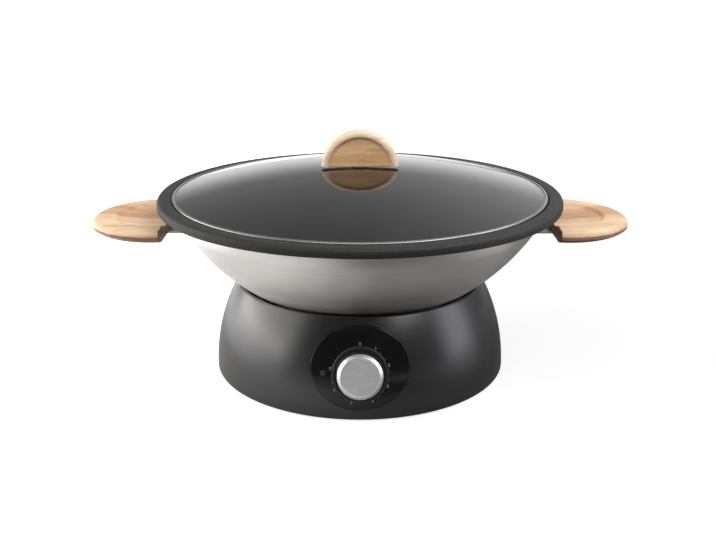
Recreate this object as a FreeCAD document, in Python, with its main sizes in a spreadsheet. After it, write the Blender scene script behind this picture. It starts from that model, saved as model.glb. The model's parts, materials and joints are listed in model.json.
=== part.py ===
"""Electric wok: a moulded base with the heater and thermostat, a lift-out steel wok
with two wooden side grips, and a lift-off glass lid with a wooden knob.

The frame is +Z up with the origin on the table, under the middle of the wok. The dial
faces -Y and the side grips lie along X. All lengths are millimetres, all angles degrees.
"""
import FreeCAD, Part
import math
import os
import re
import Sketcher

Vector = FreeCAD.Vector

# ---------------------------------------------------------------- driving dimensions

SIZES = [
    # moulded housing
    ("foot_drop", 2, "housing's lower edge above the table"),
    ("base_radius", 141, "housing at its lower edge"),
    ("base_top_radius", 118.4, "housing under its rounded crest"),
    ("base_top_height", 89.7, "crest above the table"),
    ("housing_wall", 2.8, "moulded wall"),
    ("crest_round", 2, "rounding of the crest"),
    ("seat_gap", 2.5, "air between the housing's mouth and the wok"),
    ("mouth_width", 11.4, "sloping mouth inside the crest"),
    ("ledge_drop", 2.65, "reflector ledge below the wok"),
    ("ledge_width", 7, "reflector ledge"),
    ("vent_count", 20, "radial vents in the bottom cover"),
    # wok
    ("wok_radius", 197, "outer sphere of the bowl"),
    ("wok_wall", 2.5, "wall of the bowl"),
    ("wok_flat_radius", 55, "flat that stands on the heater"),
    ("wok_depth", 111.2, "flat to the top of the rim"),
    ("collar_height", 21.4, "collar above the spherical part"),
    ("collar_round", 1, "hollow corner under the lid's ledge"),
    ("rim_radius", 190, "outer edge of the rim"),
    ("rim_round", 4, "rolled outer edge of the rim"),
    ("rim_skirt", 8, "height of the turned-down edge"),
    ("rim_width", 13, "flat rim outside the lid"),
    ("lid_seat_depth", 4.6, "step that the lid drops into"),
    ("lid_ledge_width", 6, "ledge that carries the lid"),
    # lid
    ("lid_side_gap", 1, "air round the lid in its step"),
    ("contact_gap", 0.3, "air between curved pieces that rest on each other"),
    ("glass_wall", 3.6, "tempered glass"),
    ("lid_rise", 23, "height of the dome"),
    ("band_wall", 0.6, "steel band round the glass"),
    ("band_lip", 2.6, "how far the band grips over the glass"),
    ("lid_hole_radius", 4, "hole in the middle of the glass"),
    ("gasket_radius", 8, "silicone washer under the wooden knob"),
    ("gasket_wall", 1, "silicone washer"),
    ("lid_washer_radius", 12, "steel washer under the glass"),
    ("lid_washer_wall", 1.5, "steel washer under the glass"),
    ("lid_screw_radius", 2, "screw into the wooden knob"),
    ("lid_screw_length", 20, "screw into the wooden knob"),
    ("insert_radius", 3.6, "brass insert in the wooden knob"),
    ("insert_length", 13, "brass insert in the wooden knob"),
    ("lid_grip_radius", 36.5, "half-round wooden knob"),
    ("lid_grip_height", 34, "wooden knob above the gasket"),
    ("lid_grip_width", 14, "wooden knob, front to back"),
    ("lid_grip_recess", 2, "hollow in its two faces"),
    ("lid_grip_border", 6, "raised border round the hollow"),
    ("lid_grip_round", 4, "rounded outer edges"),
    # side grips
    ("grip_gap", 11.6, "air between the bowl and a side grip's inner side"),
    ("grip_reach", 74, "tip of a side grip from its inner side"),
    ("grip_disc_radius", 64, "round outline of a side grip"),
    ("grip_wall", 13.5, "thickness of a side grip"),
    ("grip_drop", 22.7, "its top below the rim"),
    ("grip_round", 6, "rounded top edge"),
    ("grip_bevel_width", 14, "swept underside"),
    ("grip_bevel_height", 5.5, "swept underside"),
    ("grip_recess_radius", 41, "thumb hollow"),
    ("grip_recess_depth", 3, "thumb hollow"),
    ("bracket_width", 44, "steel bracket of a side grip"),
    ("bracket_wall", 2, "bracket sheet"),
    ("bracket_tab", 20, "height of the tab that is welded to the bowl"),
    ("bracket_tongue", 44, "tongue under the grip, past its inner side"),
    ("weld_gap", 0.05, "weld between bracket and bowl"),
    ("grip_screw_first", 12, "first screw from the grip's inner side"),
    ("grip_screw_pitch", 22, "first screw to second"),
    ("grip_screw_radius", 1.9, "wood screw"),
    ("grip_screw_length", 8, "wood screw in the grip"),
    # dial
    ("dial_height", 42.7, "middle of the dial above the table"),
    ("panel_half_width", 43, "oval glossy panel"),
    ("panel_top_margin", 5.9, "panel below the crest"),
    ("panel_foot_margin", 10, "panel above the housing's lower edge"),
    ("panel_wall", 1.4, "glossy panel"),
    ("panel_gap", 0.15, "joint round the panel"),
    ("scale_radius", 24.6, "ring with the marks"),
    ("scale_stand", 0.8, "how far the ring stands out"),
    ("scale_depth", 2.9, "how deep it is let in"),
    ("well_floor", 3.4, "floor under the ring"),
    ("well_wall", 2.6, "wall round the ring"),
    ("dial_gap", 0.3, "air between the knob and the ring"),
    ("dial_knob_radius", 20.7, "control knob"),
    ("dial_knob_height", 12, "control knob"),
    ("dial_knob_shell", 2.2, "its wall"),
    ("dial_bevel", 1.8, "bright bevel of the knob"),
    ("dial_cap_wall", 0.7, "spun metal face of the knob"),
    ("pointer_width", 1.4, "pointer groove across the knob's edge"),
    ("spindle_radius", 3, "thermostat spindle"),
    ("spindle_flat", 2.2, "flat of the spindle from its axis"),
    ("fit_gap", 0.08, "running clearance of the spindle"),
    ("lens_offset", 32, "pilot lamp beside the dial"),
    ("lens_radius", 2.4, "pilot lamp lens"),
    ("lens_flange", 3.2, "its collar behind the wall"),
    ("lamp_length", 12, "neon lamp behind the lens"),
    # thermostat
    ("thermostat_width", 32, "thermostat case"),
    ("thermostat_height", 26, "thermostat case"),
    ("thermostat_length", 20, "thermostat case"),
    ("thermostat_bevel", 1.5, "its long edges"),
    ("strap_wall", 1.5, "steel strap that holds it"),
    ("strap_width", 48, "steel strap that holds it"),
    ("strap_screw_offset", 20, "its screws from the dial axis"),
    ("tab_length", 7, "blade terminals"),
    ("tab_width", 6.3, "blade terminals"),
    ("tab_wall", 0.8, "blade terminals"),
    # heater
    ("element_tube", 3.25, "radius of the heater tube"),
    ("element_outer", 46, "outer turn of the heater"),
    ("element_inner", 28, "inner turn of the heater"),
    ("element_leg", 21, "cold ends below the turns"),
    ("element_opening", 20, "half the opening of each turn, in degrees"),
    ("support_wall", 1.5, "star that carries the heater"),
    ("support_arm", 9, "width of its arms"),
    ("support_reach", 56, "length of its arms"),
    ("reflector_wall", 0.8, "reflector sheet"),
    ("reflector_drop", 13.2, "heater's middle to the reflector's floor"),
    ("reflector_floor", 70, "radius of the reflector's floor"),
    ("reflector_round", 70, "curve of its side"),
    ("reflector_hole", 4, "hole in its middle"),
    ("bushing_radius", 4.6, "ceramic bushing in the reflector"),
    ("bushing_flange", 6.6, "its flanges"),
    ("bushing_wall", 1.5, "its flanges"),
    ("sensor_radius", 9, "temperature sensor under the wok"),
    ("sensor_height", 8, "temperature sensor under the wok"),
    ("spring_radius", 6.5, "spring under the sensor"),
    ("spring_wire", 0.7, "radius of its wire"),
    ("spring_turns", 3, "turns of the spring"),
    ("capillary_radius", 0.9, "thin tube from sensor to thermostat"),
    ("fuse_radius", 2.2, "thermal fuse"),
    ("fuse_length", 14, "thermal fuse"),
    ("fuse_offset", 34, "thermal fuse from the middle"),
    ("wire_radius", 1.2, "insulated lead"),
    ("lead_rise", 7, "low leads above the bottom cover"),
    ("lead_drop", 16, "high leads below the reflector"),
    # bottom
    ("cover_wall", 2.5, "bottom cover"),
    ("cover_recess", 1.5, "cover above the housing's lower edge"),
    ("cover_gap", 0.4, "air round the cover"),
    ("boss_inset", 17, "screw bosses inside the housing's lower edge"),
    ("boss_radius", 5, "screw boss"),
    ("boss_height", 22, "screw boss"),
    ("rib_wall", 2, "rib from boss to wall"),
    ("cover_screw_radius", 1.6, "cover screw"),
    ("screw_head_radius", 3.2, "pan head"),
    ("screw_head_height", 1.8, "pan head"),
    ("foot_inset", 43, "rubber feet inside the housing's lower edge"),
    ("foot_radius", 8.5, "rubber foot"),
    ("foot_neck", 3.8, "neck of a foot in the cover"),
    ("foot_head", 5.2, "head of a foot above the cover"),
    ("vent_start", 44, "inner end of a vent"),
    ("vent_end", 74, "outer end of a vent"),
    ("vent_width", 4, "width of a vent"),
    ("block_width", 40, "terminal block"),
    ("block_length", 16, "terminal block"),
    ("block_height", 14, "terminal block"),
    ("block_inset", 63, "terminal block inside the housing's lower edge"),
    ("terminal_pitch", 12, "its poles"),
    ("terminal_radius", 2.2, "its screw wells"),
    ("gland_height", 24, "cord inlet above the table"),
    ("cord_bore", 3.7, "bore of the cord inlet"),
    ("gland_radius", 6, "inlet bushing in the wall"),
    ("gland_flange", 9, "inlet bushing outside"),
    ("gland_inner", 8, "inlet bushing inside"),
    ("gland_stand", 3.5, "inlet bushing outside the wall"),
    ("clamp_inset", 29, "cord clamp inside the housing's lower edge"),
    ("clamp_width", 28, "cord clamp"),
    ("clamp_length", 10, "cord clamp"),
    ("clamp_cap", 4, "cord clamp above the bore"),
    ("clamp_screw_offset", 9.5, "its screws from the bore"),
]

# Places that follow from the driving dimensions. Each may use those above it.
PLACES = {
    "wall_top": "(base_top_height - crest_round)",
    "wall_rise": "(wall_top - foot_drop)",
    "wall_draw": "(base_radius - base_top_radius)",
    "barrel_radius": "((wall_draw ^ 2 + wall_rise ^ 2) / (2 * wall_draw))",
    "barrel_middle": "(base_radius - barrel_radius)",
    "dial_reach": "(barrel_middle + sqrt(barrel_radius ^ 2 - (dial_height - foot_drop) ^ 2))",
    "dial_tilt": "asin((dial_height - foot_drop) / barrel_radius)",
    "lens_turn": "asin(lens_offset / dial_reach)",
    "wok_middle": "(base_top_height + seat_gap + sqrt(wok_radius ^ 2 - base_top_radius ^ 2))",
    "wok_floor": "(wok_middle - sqrt(wok_radius ^ 2 - wok_flat_radius ^ 2))",
    "rim_top": "(wok_floor + wok_depth)",
    "lid_ledge": "(rim_top - lid_seat_depth)",
    "lid_seat_radius": "(rim_radius - rim_width)",
    "mouth_radius": "(base_top_radius - mouth_width)",
    "mouth_height": "(wok_middle - sqrt(wok_radius ^ 2 - mouth_radius ^ 2) - seat_gap)",
    "ledge_inner": "(mouth_radius - ledge_width)",
    "ledge_height": "(wok_middle - sqrt(wok_radius ^ 2 - ledge_inner ^ 2) - ledge_drop)",
    "element_height": "(wok_floor - contact_gap - element_tube)",
    "reflector_base": "(element_height - reflector_drop)",
    "support_top": "(element_height - element_tube)",
    "support_base": "(support_top - support_wall)",
    "cover_base": "(foot_drop + cover_recess)",
    "cover_top": "(cover_base + cover_wall)",
    "lid_radius": "(lid_seat_radius - lid_side_gap)",
    "glass_radius": "(lid_radius - band_wall)",
    "glass_edge": "(lid_ledge + contact_gap + band_wall)",
    "dome_radius": "((glass_radius ^ 2 + lid_rise ^ 2) / (2 * lid_rise))",
    "dome_slope": "tan(asin(glass_radius / dome_radius))",
    "glass_top": "(glass_edge + glass_wall + lid_rise)",
    "lid_grip_base": "(glass_top + gasket_wall)",
    "lid_grip_middle": "(lid_grip_base + lid_grip_height - lid_grip_radius)",
    "grip_top": "(rim_top - grip_drop)",
    "grip_base": "(grip_top - grip_wall)",
    "grip_inner_reach": "(sqrt(wok_radius ^ 2 - (wok_middle - grip_top) ^ 2) + grip_gap)",
    "grip_middle": "(grip_inner_reach + grip_reach - grip_disc_radius)",
    "panel_top": "(base_top_height - panel_top_margin)",
    "panel_foot": "(foot_drop + panel_foot_margin)",
    "panel_half_height": "((panel_top - panel_foot) / 2 / cos(dial_tilt))",
    "panel_raise": "(((panel_top + panel_foot) / 2 - dial_height) / cos(dial_tilt))",
    "boss_ring": "(base_radius - boss_inset)",
    "foot_ring": "(base_radius - foot_inset)",
    "block_offset": "(base_radius - block_inset)",
    "clamp_offset": "(base_radius - clamp_inset)",
    "well_back": "(-scale_depth - well_floor)",
    "strap_back": "(well_back - strap_wall)",
    "thermostat_back": "(strap_back - thermostat_length)",
    "block_top": "(cover_top + block_height)",
}

doc = FreeCAD.newDocument("electric_wok")
sheet = doc.addObject("Spreadsheet::Sheet", "sizes")
sub_parts = []


def fill_sheet():
    """One row for each driving dimension: its name, its value and what it is."""
    for row, (alias, value, meaning) in enumerate(SIZES, start=1):
        sheet.set(f"A{row}", alias)
        sheet.set(f"B{row}", str(value))
        sheet.set(f"C{row}", meaning)
        sheet.setAlias(f"B{row}", alias)
    doc.recompute()


# --------------------------------------------------------------------- the toolbox

SIZE_NAMES = {alias for alias, _, _ in SIZES}


def formula(text, owner="sizes."):
    """Write a formula of named sizes and places as one that reads the sheet."""
    def expand(match):
        word = match.group(0)
        if word in PLACES:
            return formula(PLACES[word], owner)
        return owner + word if word in SIZE_NAMES else word
    return re.sub(r"[a-z_]+", expand, str(text))


def size(text):
    """The value that a formula has now."""
    return float(sheet.evalExpression(formula(text, "")))


def bind(item, **formulas):
    for name, text in formulas.items():
        item.setExpression(name, formula(text))
    return item


def put(item, x="0", y="0", z="0", turn="rotationz(0)"):
    """Place an object at a point, with a turn such as rotationx(90)."""
    item.setExpression("Placement", formula(f"placement(vector({x}; {y}; {z}); {turn})"))
    return item


def along_dial(item, across="0", up="0", out="0", turn="rotationz(0)"):
    """Place an object in the dial's frame: its Z is the dial axis, pointing outward."""
    return put(
        item,
        x=across,
        y=f"-dial_reach + ({up}) * sin(dial_tilt) - ({out}) * cos(dial_tilt)",
        z=f"dial_height + ({up}) * cos(dial_tilt) + ({out}) * sin(dial_tilt)",
        turn=f"rotationx(90 deg - dial_tilt) * {turn}",
    )


def at_lens(item, out="0"):
    """Place an object on the pilot lamp's own axis, square to the wall there."""
    reach = f"(dial_reach + ({out}) * cos(dial_tilt))"
    return put(
        item,
        x=f"-{reach} * sin(lens_turn)",
        y=f"-{reach} * cos(lens_turn)",
        z=f"dial_height + ({out}) * sin(dial_tilt)",
        turn="rotationz(-lens_turn) * rotationx(90 deg - dial_tilt)",
    )


def behind_dial(across, out):
    """A point in the dial's frame, as three formulas."""
    return (across, f"-dial_reach - {out} * cos(dial_tilt)",
            f"dial_height + {out} * sin(dial_tilt)")


def label(item, name):
    """Make an object one of the sub-parts that are written out."""
    item.Label = name
    sub_parts.append(item)
    return item


def primitive(kind, name, **formulas):
    return bind(doc.addObject("Part::" + kind, name), **formulas)


def cylinder(name, radius, height, **place):
    return put(primitive("Cylinder", name, Radius=radius, Height=height), **place)


def box(name, width, depth, height, x="0", y="0", z="0"):
    """A box centred on x and y that stands on z."""
    item = primitive("Box", name, Length=width, Width=depth, Height=height)
    return put(item, x=f"{x} - ({width}) / 2", y=f"{y} - ({depth}) / 2", z=z)


def fuse(name, *pieces):
    item = doc.addObject("Part::MultiFuse", name)
    item.Shapes = list(pieces)
    return item


def cut(name, base, *tools):
    item = doc.addObject("Part::Cut", name)
    item.Base = base
    item.Tool = tools[0] if len(tools) == 1 else fuse(name + "_tools", *tools)
    return item


def common(name, first, second):
    item = doc.addObject("Part::MultiCommon", name)
    item.Shapes = [first, second]
    return item


def group(name, *pieces):
    """Identical fasteners: separate solids in one sub-part."""
    item = doc.addObject("Part::Compound", name)
    item.Links = list(pieces)
    return label(item, name)


def arc_between(start, end, radius, turning):
    """An arc from start to end that turns left or right, and whether it is reversed."""
    chord = end - start
    half = chord.Length / 2
    aside = Vector(-chord.y, chord.x, 0).normalize()
    offset = math.sqrt(max(radius ** 2 - half ** 2, 0))
    centre = (start + end) / 2 + aside * (offset if turning == "left" else -offset)
    first, last = (start, end) if turning == "left" else (end, start)
    angles = [math.atan2(point.y - centre.y, point.x - centre.x) for point in (first, last)]
    if angles[1] < angles[0]:
        angles[1] += 2 * math.pi
    circle = Part.Circle(centre, Vector(0, 0, 1), radius)
    return Part.ArcOfCircle(circle, *angles), turning == "right"


def sketch_on(body, role, name, offset=None):
    sketch = body.newObject("Sketcher::SketchObject", name)
    plane = next(item for item in body.Origin.OriginFeatures if item.Role == role)
    sketch.AttachmentSupport = (plane, "")
    sketch.MapMode = "FlatFace"
    if offset is not None:
        sketch.setExpression(".AttachmentOffset.Base.z", formula(offset))
    return sketch


def add_loop(sketch, outline):
    """A closed outline: each corner is (x, y), or (x, y, radius, "left" or "right") where
    an arc leaves it. Every corner and radius is a dimension that reads the sheet."""
    corners = [Vector(size(corner[0]), size(corner[1]), 0) for corner in outline]
    starts, ends = [], []
    for index, corner in enumerate(outline):
        here, there = corners[index], corners[(index + 1) % len(corners)]
        if len(corner) == 2:
            edge = sketch.addGeometry(Part.LineSegment(here, there), False)
            reverse = False
        else:
            arc, reverse = arc_between(here, there, size(corner[2]), corner[3])
            edge = sketch.addGeometry(arc, False)
            row = sketch.addConstraint(Sketcher.Constraint("Radius", edge, size(corner[2])))
            sketch.setExpression(f"Constraints[{row}]", formula(corner[2]))
        starts.append((edge, 2 if reverse else 1))
        ends.append((edge, 1 if reverse else 2))
    for index, corner in enumerate(outline):
        edge, vertex = starts[index]
        sketch.addConstraint(Sketcher.Constraint("Coincident", *ends[index - 1], edge, vertex))
        for kind, text in (("DistanceX", corner[0]), ("DistanceY", corner[1])):
            held = Sketcher.Constraint(kind, -1, 1, edge, vertex, size(text))
            sketch.setExpression(f"Constraints[{sketch.addConstraint(held)}]", formula(text))


def add_circle(sketch, x, y, radius):
    circle = Part.Circle(Vector(size(x), size(y), 0), Vector(0, 0, 1), size(radius))
    edge = sketch.addGeometry(circle, False)
    for kind, text, where in (
        ("DistanceX", x, (-1, 1, edge, 3)),
        ("DistanceY", y, (-1, 1, edge, 3)),
        ("Radius", radius, (edge,)),
    ):
        row = sketch.addConstraint(Sketcher.Constraint(kind, *where, size(text)))
        sketch.setExpression(f"Constraints[{row}]", formula(text))


def revolved(name, outline, role="XZ_Plane"):
    """A body turned about the upright axis of its outline's sketch."""
    body = doc.addObject("PartDesign::Body", name)
    sketch = sketch_on(body, role, name + "_outline")
    add_loop(sketch, outline)
    turning = body.newObject("PartDesign::Revolution", name + "_turning")
    turning.Profile = sketch
    turning.ReferenceAxis = (sketch, ["V_Axis"])
    turning.Angle = 360
    return body


def add_feature(body, kind, name, sketch, length, reverse=False):
    """A pad or pocket of a sketch, by a length."""
    item = body.newObject("PartDesign::" + kind, name)
    item.Profile = sketch
    item.Reversed = reverse
    item.setExpression("Length", formula(length))
    return item


def repeat_round(body, name, feature, count):
    """Repeat a feature round the body's upright axis."""
    pattern = body.newObject("PartDesign::PolarPattern", name)
    pattern.Originals = [feature]
    axis = next(item for item in body.Origin.OriginFeatures if item.Role == "Z_Axis")
    pattern.Axis = (axis, [""])
    pattern.Angle = 360
    pattern.setExpression("Occurrences", formula(count))
    body.Tip = pattern
    return pattern


def screw(name, head_radius, head_height, radius, length, place=put, **where):
    """A pan-head screw whose head is below the origin and whose shank points up."""
    body = revolved(name, [
        ("0", f"-({head_height})"),
        (f"({head_radius}) * 0.7", f"-({head_height})", f"({head_height}) * 1.2", "left"),
        (head_radius, f"-({head_height}) * 0.35"),
        (head_radius, "0"),
        (radius, "0"),
        (radius, f"({length}) - ({radius})"),
        ("0", length),
    ])
    return place(body, **where)


def tube(name, points, radius):
    """A round tube or lead: straight runs joined by tangent arcs, as large as they allow."""
    corners = [Vector(*(size(value) for value in point)) for point in points]
    edges = []
    here = corners[0]
    for before, corner, after in zip(corners, corners[1:], corners[2:]):
        arriving, leaving = corner - before, after - corner
        half_turn = arriving.getAngle(leaving) / 2
        setback = 0.45 * min(arriving.Length, leaving.Length)
        arriving.normalize()
        leaving.normalize()
        first, last = corner - arriving * setback, corner + leaving * setback
        inward = (leaving - arriving).normalize()
        bend = setback / math.tan(half_turn)
        middle = corner + inward * (bend / math.cos(half_turn) - bend)
        edges.append(Part.LineSegment(here, first).toShape())
        edges.append(Part.Arc(first, middle, last).toShape())
        here = last
    edges.append(Part.LineSegment(here, corners[-1]).toShape())
    section = Part.Wire(Part.Circle(corners[0], corners[1] - corners[0], size(radius)).toShape())
    item = doc.addObject("Part::Feature", name)
    item.Shape = Part.Wire(edges).makePipeShell([section], True, True)
    return item


# --------------------------------------------------------------------- base, outside


def barrel_face(inset, low, high):
    """The housing's outer curve from a height to a higher one, or one inset from it."""
    def reach(height):
        run = f"({height} - foot_drop)"
        return f"barrel_middle + sqrt((barrel_radius - {inset}) ^ 2 - {run} ^ 2)"
    return [(reach(low), low, f"barrel_radius - {inset}", "left"), (reach(high), high)]


def make_housing():
    """The moulded body: a barrel wall with a rounded crest, a sloping mouth under the wok
    and a ledge for the reflector; screw bosses with ribs; a well and an oval let-in for
    the dial; holes for the spindle, the pilot lamp and the cord."""
    crest_inner = "(base_top_radius - 1.8 * crest_round)"
    crest_height = f"(wok_middle - sqrt(wok_radius ^ 2 - {crest_inner} ^ 2) - seat_gap)"
    ledge_under = "(ledge_height - housing_wall)"
    wall_in = "(barrel_radius - housing_wall)"
    mouth_under = "(mouth_radius + housing_wall)"
    joint_height = f"({crest_height} - 2 * housing_wall)"
    joint_radius = (f"(barrel_middle + sqrt({wall_in} ^ 2"
                    f" - ({joint_height} - foot_drop) ^ 2))")
    body = revolved("housing_moulding", [
        ("base_radius", "foot_drop", "barrel_radius", "left"),
        ("base_top_radius", "base_top_height - crest_round", "crest_round", "left"),
        (crest_inner, crest_height),
        ("mouth_radius", "mouth_height"),
        ("mouth_radius", "ledge_height"),
        ("ledge_inner", "ledge_height"),
        ("ledge_inner", ledge_under),
        (mouth_under, ledge_under),
        (mouth_under, "mouth_height - housing_wall"),
        (joint_radius, joint_height, wall_in, "right"),
        ("base_radius - housing_wall", "foot_drop"),
    ])
    bosses = sketch_on(body, "XY_Plane", "boss_sketch", "cover_top")
    add_circle(bosses, "boss_ring / sqrt(2)", "boss_ring / sqrt(2)", "boss_radius")
    boss = add_feature(body, "Pad", "boss", bosses, "boss_height")
    repeat_round(body, "bosses", boss, "4")
    ribs = sketch_on(body, "XY_Plane", "rib_sketch", "cover_top")
    near, far = "(boss_ring / sqrt(2))", "((base_radius - housing_wall / 2) / sqrt(2))"
    half = "(rib_wall / 2 / sqrt(2))"
    add_loop(ribs, [
        (f"{near} + {half}", f"{near} - {half}"),
        (f"{far} + {half}", f"{far} - {half}"),
        (f"{far} - {half}", f"{far} + {half}"),
        (f"{near} - {half}", f"{near} + {half}"),
    ])
    rib = add_feature(body, "Pad", "rib", ribs, "boss_height * 0.6")
    repeat_round(body, "ribs", rib, "4")
    holes = sketch_on(body, "XY_Plane", "boss_hole_sketch", "cover_top")
    add_circle(holes, "boss_ring / sqrt(2)", "boss_ring / sqrt(2)", "cover_screw_radius")
    hole = add_feature(body, "Pocket", "boss_hole", holes, "boss_height - rib_wall", True)
    repeat_round(body, "boss_holes", hole, "4")
    ledge_holes = sketch_on(body, "XY_Plane", "ledge_hole_sketch", ledge_under)
    add_circle(ledge_holes, "0", "mouth_radius - ledge_width / 2", "cover_screw_radius")
    ledge_hole = add_feature(body, "Pocket", "ledge_hole", ledge_holes,
                             "housing_wall", True)
    repeat_round(body, "ledge_holes", ledge_hole, "3")

    well_depth = "(well_floor - 0.2)"
    well_block = along_dial(
        primitive("Cylinder", "dial_well", Radius="scale_radius + well_wall",
                  Height=well_depth), out="well_back")
    inner_barrel = revolved("inner_barrel", [
        ("0", "foot_drop"), *barrel_face("housing_wall / 2", "foot_drop", "wall_top"),
        ("0", "wall_top")])
    well = common("dial_well_trim", well_block, inner_barrel)
    room = along_dial(
        primitive("Cylinder", "dial_room", Radius="scale_radius + panel_gap",
                  Height="scale_depth * 4"), out="-scale_depth")
    spindle_hole = along_dial(
        primitive("Cylinder", "spindle_hole", Radius="spindle_radius + 1.2",
                  Height="well_floor * 4"), out="2 * well_back")
    lens_hole = at_lens(
        primitive("Cylinder", "lens_hole", Radius="lens_radius + fit_gap",
                  Height="housing_wall * 4"), out="-housing_wall * 2")
    gland_hole = cylinder("gland_hole", "gland_radius + fit_gap", "base_radius - boss_ring + 8",
                          y="boss_ring + 2", z="gland_height", turn="rotationx(-90)")
    strap_holes = [
        along_dial(primitive("Cylinder", f"strap_hole_{number}", Radius="cover_screw_radius",
                             Height="well_floor"),
                   across=f"{side} * strap_screw_offset", out="well_back - 0.5")
        for number, side in enumerate((-1, 1), start=1)]
    housing = cut("housing_cut", fuse("housing_fused", body, well), room, spindle_hole,
                  lens_hole, gland_hole, panel_blank("panel_room", "panel_gap"), *strap_holes)
    label(housing, "base_housing")


def panel_blank(name, spare):
    """The oval slice of the wall that the glossy panel fills, larger by a spare edge."""
    (inner_low, _, inner_radius, _), inner_high = barrel_face(
        "panel_wall", "foot_drop", "wall_top")
    shell = revolved(name + "_shell", [
        *barrel_face("0", "foot_drop", "wall_top"),
        (*inner_high, inner_radius, "right"), (inner_low, "foot_drop")])
    oval = primitive("Ellipse", name + "_oval", MajorRadius=f"panel_half_width + {spare}",
                     MinorRadius=f"panel_half_height + {spare}")
    along_dial(oval, up="panel_raise")
    prism = doc.addObject("Part::Extrusion", name + "_prism")
    prism.Base = oval
    prism.DirMode = "Normal"
    prism.Solid = True
    bind(prism, LengthFwd="panel_half_height / 2", LengthRev="panel_half_height / 2")
    return common(name, shell, prism)


def make_panel():
    """The glossy oval panel, flush with the wall, with the ring's and the lamp's holes."""
    ring_hole = along_dial(
        primitive("Cylinder", "panel_ring_hole", Radius="scale_radius + panel_gap",
                  Height="scale_depth * 4"), out="-scale_depth * 2")
    lens_hole = at_lens(
        primitive("Cylinder", "panel_lens_hole", Radius="lens_radius + fit_gap",
                  Height="housing_wall * 4"), out="-housing_wall * 2")
    label(cut("panel_cut", panel_blank("panel_blank", "0"), ring_hole, lens_hole),
          "control_panel")


def make_scale_ring():
    """The ring with the marks: a shallow dish with a rounded rim, let into the wall."""
    body = revolved("scale_ring_body", [
        ("spindle_radius + 1.2", "-scale_depth"),
        ("scale_radius", "-scale_depth"),
        ("scale_radius", "0", "scale_stand", "left"),
        ("scale_radius - scale_stand", "scale_stand"),
        ("spindle_radius + 1.2", "scale_stand"),
    ])
    label(along_dial(body), "scale_ring")


def make_knob():
    """The control knob: a drafted shell with a bevelled front edge, a hub with a D bore,
    a pointer groove and a spun metal face; the thermostat's spindle turns with it."""
    back = "(scale_stand + dial_gap)"
    front = f"({back} + dial_knob_height)"
    face = "(dial_knob_radius - 2 * dial_bevel)"
    seat = f"({front} - 2 * dial_cap_wall)"
    hub = "(spindle_radius * 2)"
    skirt_in = "(dial_knob_radius - dial_knob_shell)"
    web = f"({seat} - dial_knob_shell)"
    body = revolved("knob_shell", [
        ("spindle_radius + fit_gap", back),
        (hub, back),
        (hub, web),
        (f"{skirt_in}", web),
        (f"{skirt_in}", back),
        ("dial_knob_radius", back),
        ("dial_knob_radius - 0.4", f"{front} - dial_bevel", "dial_bevel * 1.3", "left"),
        (f"{face} + 0.6", front),
        (face, seat),
        ("spindle_radius + fit_gap", seat),
    ])
    groove = primitive("Box", "pointer_groove", Length="pointer_width",
                       Width="dial_bevel * 1.6", Height="dial_knob_height")
    along_dial(groove, across="-pointer_width / 2", up=f"{face} + 0.9",
               out=f"{front} - dial_bevel * 0.6")
    flat = primitive("Box", "bore_flat", Length="spindle_radius * 2",
                     Width="spindle_radius", Height=f"({web}) - ({back})")
    along_dial(flat, across="-spindle_radius", up="spindle_flat + fit_gap", out=back)
    bore_flat = common("bore_flat_trim", flat, along_dial(
        primitive("Cylinder", "bore_round", Radius="spindle_radius + fit_gap + 0.5",
                  Height="dial_knob_height"), out=back))
    label(cut("knob_cut", fuse("knob_fused", along_dial(body), bore_flat), groove),
          "control_knob")

    cap = revolved("knob_cap_body", [
        ("0", seat),
        (f"{face} - 0.1", seat),
        (f"{face} - 0.1", f"{seat} + dial_cap_wall"),
        (f"{face} - 1", f"{seat} + dial_cap_wall + 0.2"),
        ("0", f"{seat} + dial_cap_wall + 0.2"),
    ])
    label(along_dial(cap), "knob_cap")

    tip = f"({seat} - fit_gap)"
    start = "(strap_back - thermostat_length * 0.6)"
    round_bar = along_dial(primitive("Cylinder", "spindle_bar", Radius="spindle_radius",
                                     Height=f"{tip} - {start}"), out=start)
    trim = primitive("Box", "spindle_trim", Length="spindle_radius * 2",
                     Width="spindle_radius", Height=f"{tip} - ({back}) + 1")
    along_dial(trim, across="-spindle_radius", up="spindle_flat", out=f"{back} - 0.5")
    label(cut("spindle_cut", round_bar, trim), "thermostat_spindle")


def make_pilot_lamp():
    """The pilot lamp: a lens pressed in from behind, and the neon lamp in its sleeve."""
    lens = revolved("lens_body", [
        ("0", "-housing_wall - 1.5"),
        ("lens_flange", "-housing_wall - 1.5"),
        ("lens_flange", "-housing_wall - 0.3"),
        ("lens_radius", "-housing_wall - 0.3"),
        ("lens_radius", "0"),
        ("lens_radius * 0.6", "0.4"),
        ("0", "0.4"),
    ])
    label(at_lens(lens), "indicator_lens")
    lamp_front = "(-housing_wall - 1.6)"
    lamp = revolved("lamp_body", [
        ("0", f"{lamp_front} - lamp_length"),
        ("lens_radius", f"{lamp_front} - lamp_length"),
        ("lens_radius", f"{lamp_front} - lamp_length * 0.7"),
        ("lens_flange", f"{lamp_front} - lamp_length * 0.6"),
        ("lens_flange", lamp_front),
        ("0", lamp_front),
    ])
    label(at_lens(lamp), "indicator_lamp")


# --------------------------------------------------------------------- base, inside


# The four edges of a box that run along its height, by FreeCAD's count.
LONG_EDGES = (1, 3, 5, 7)


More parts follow.
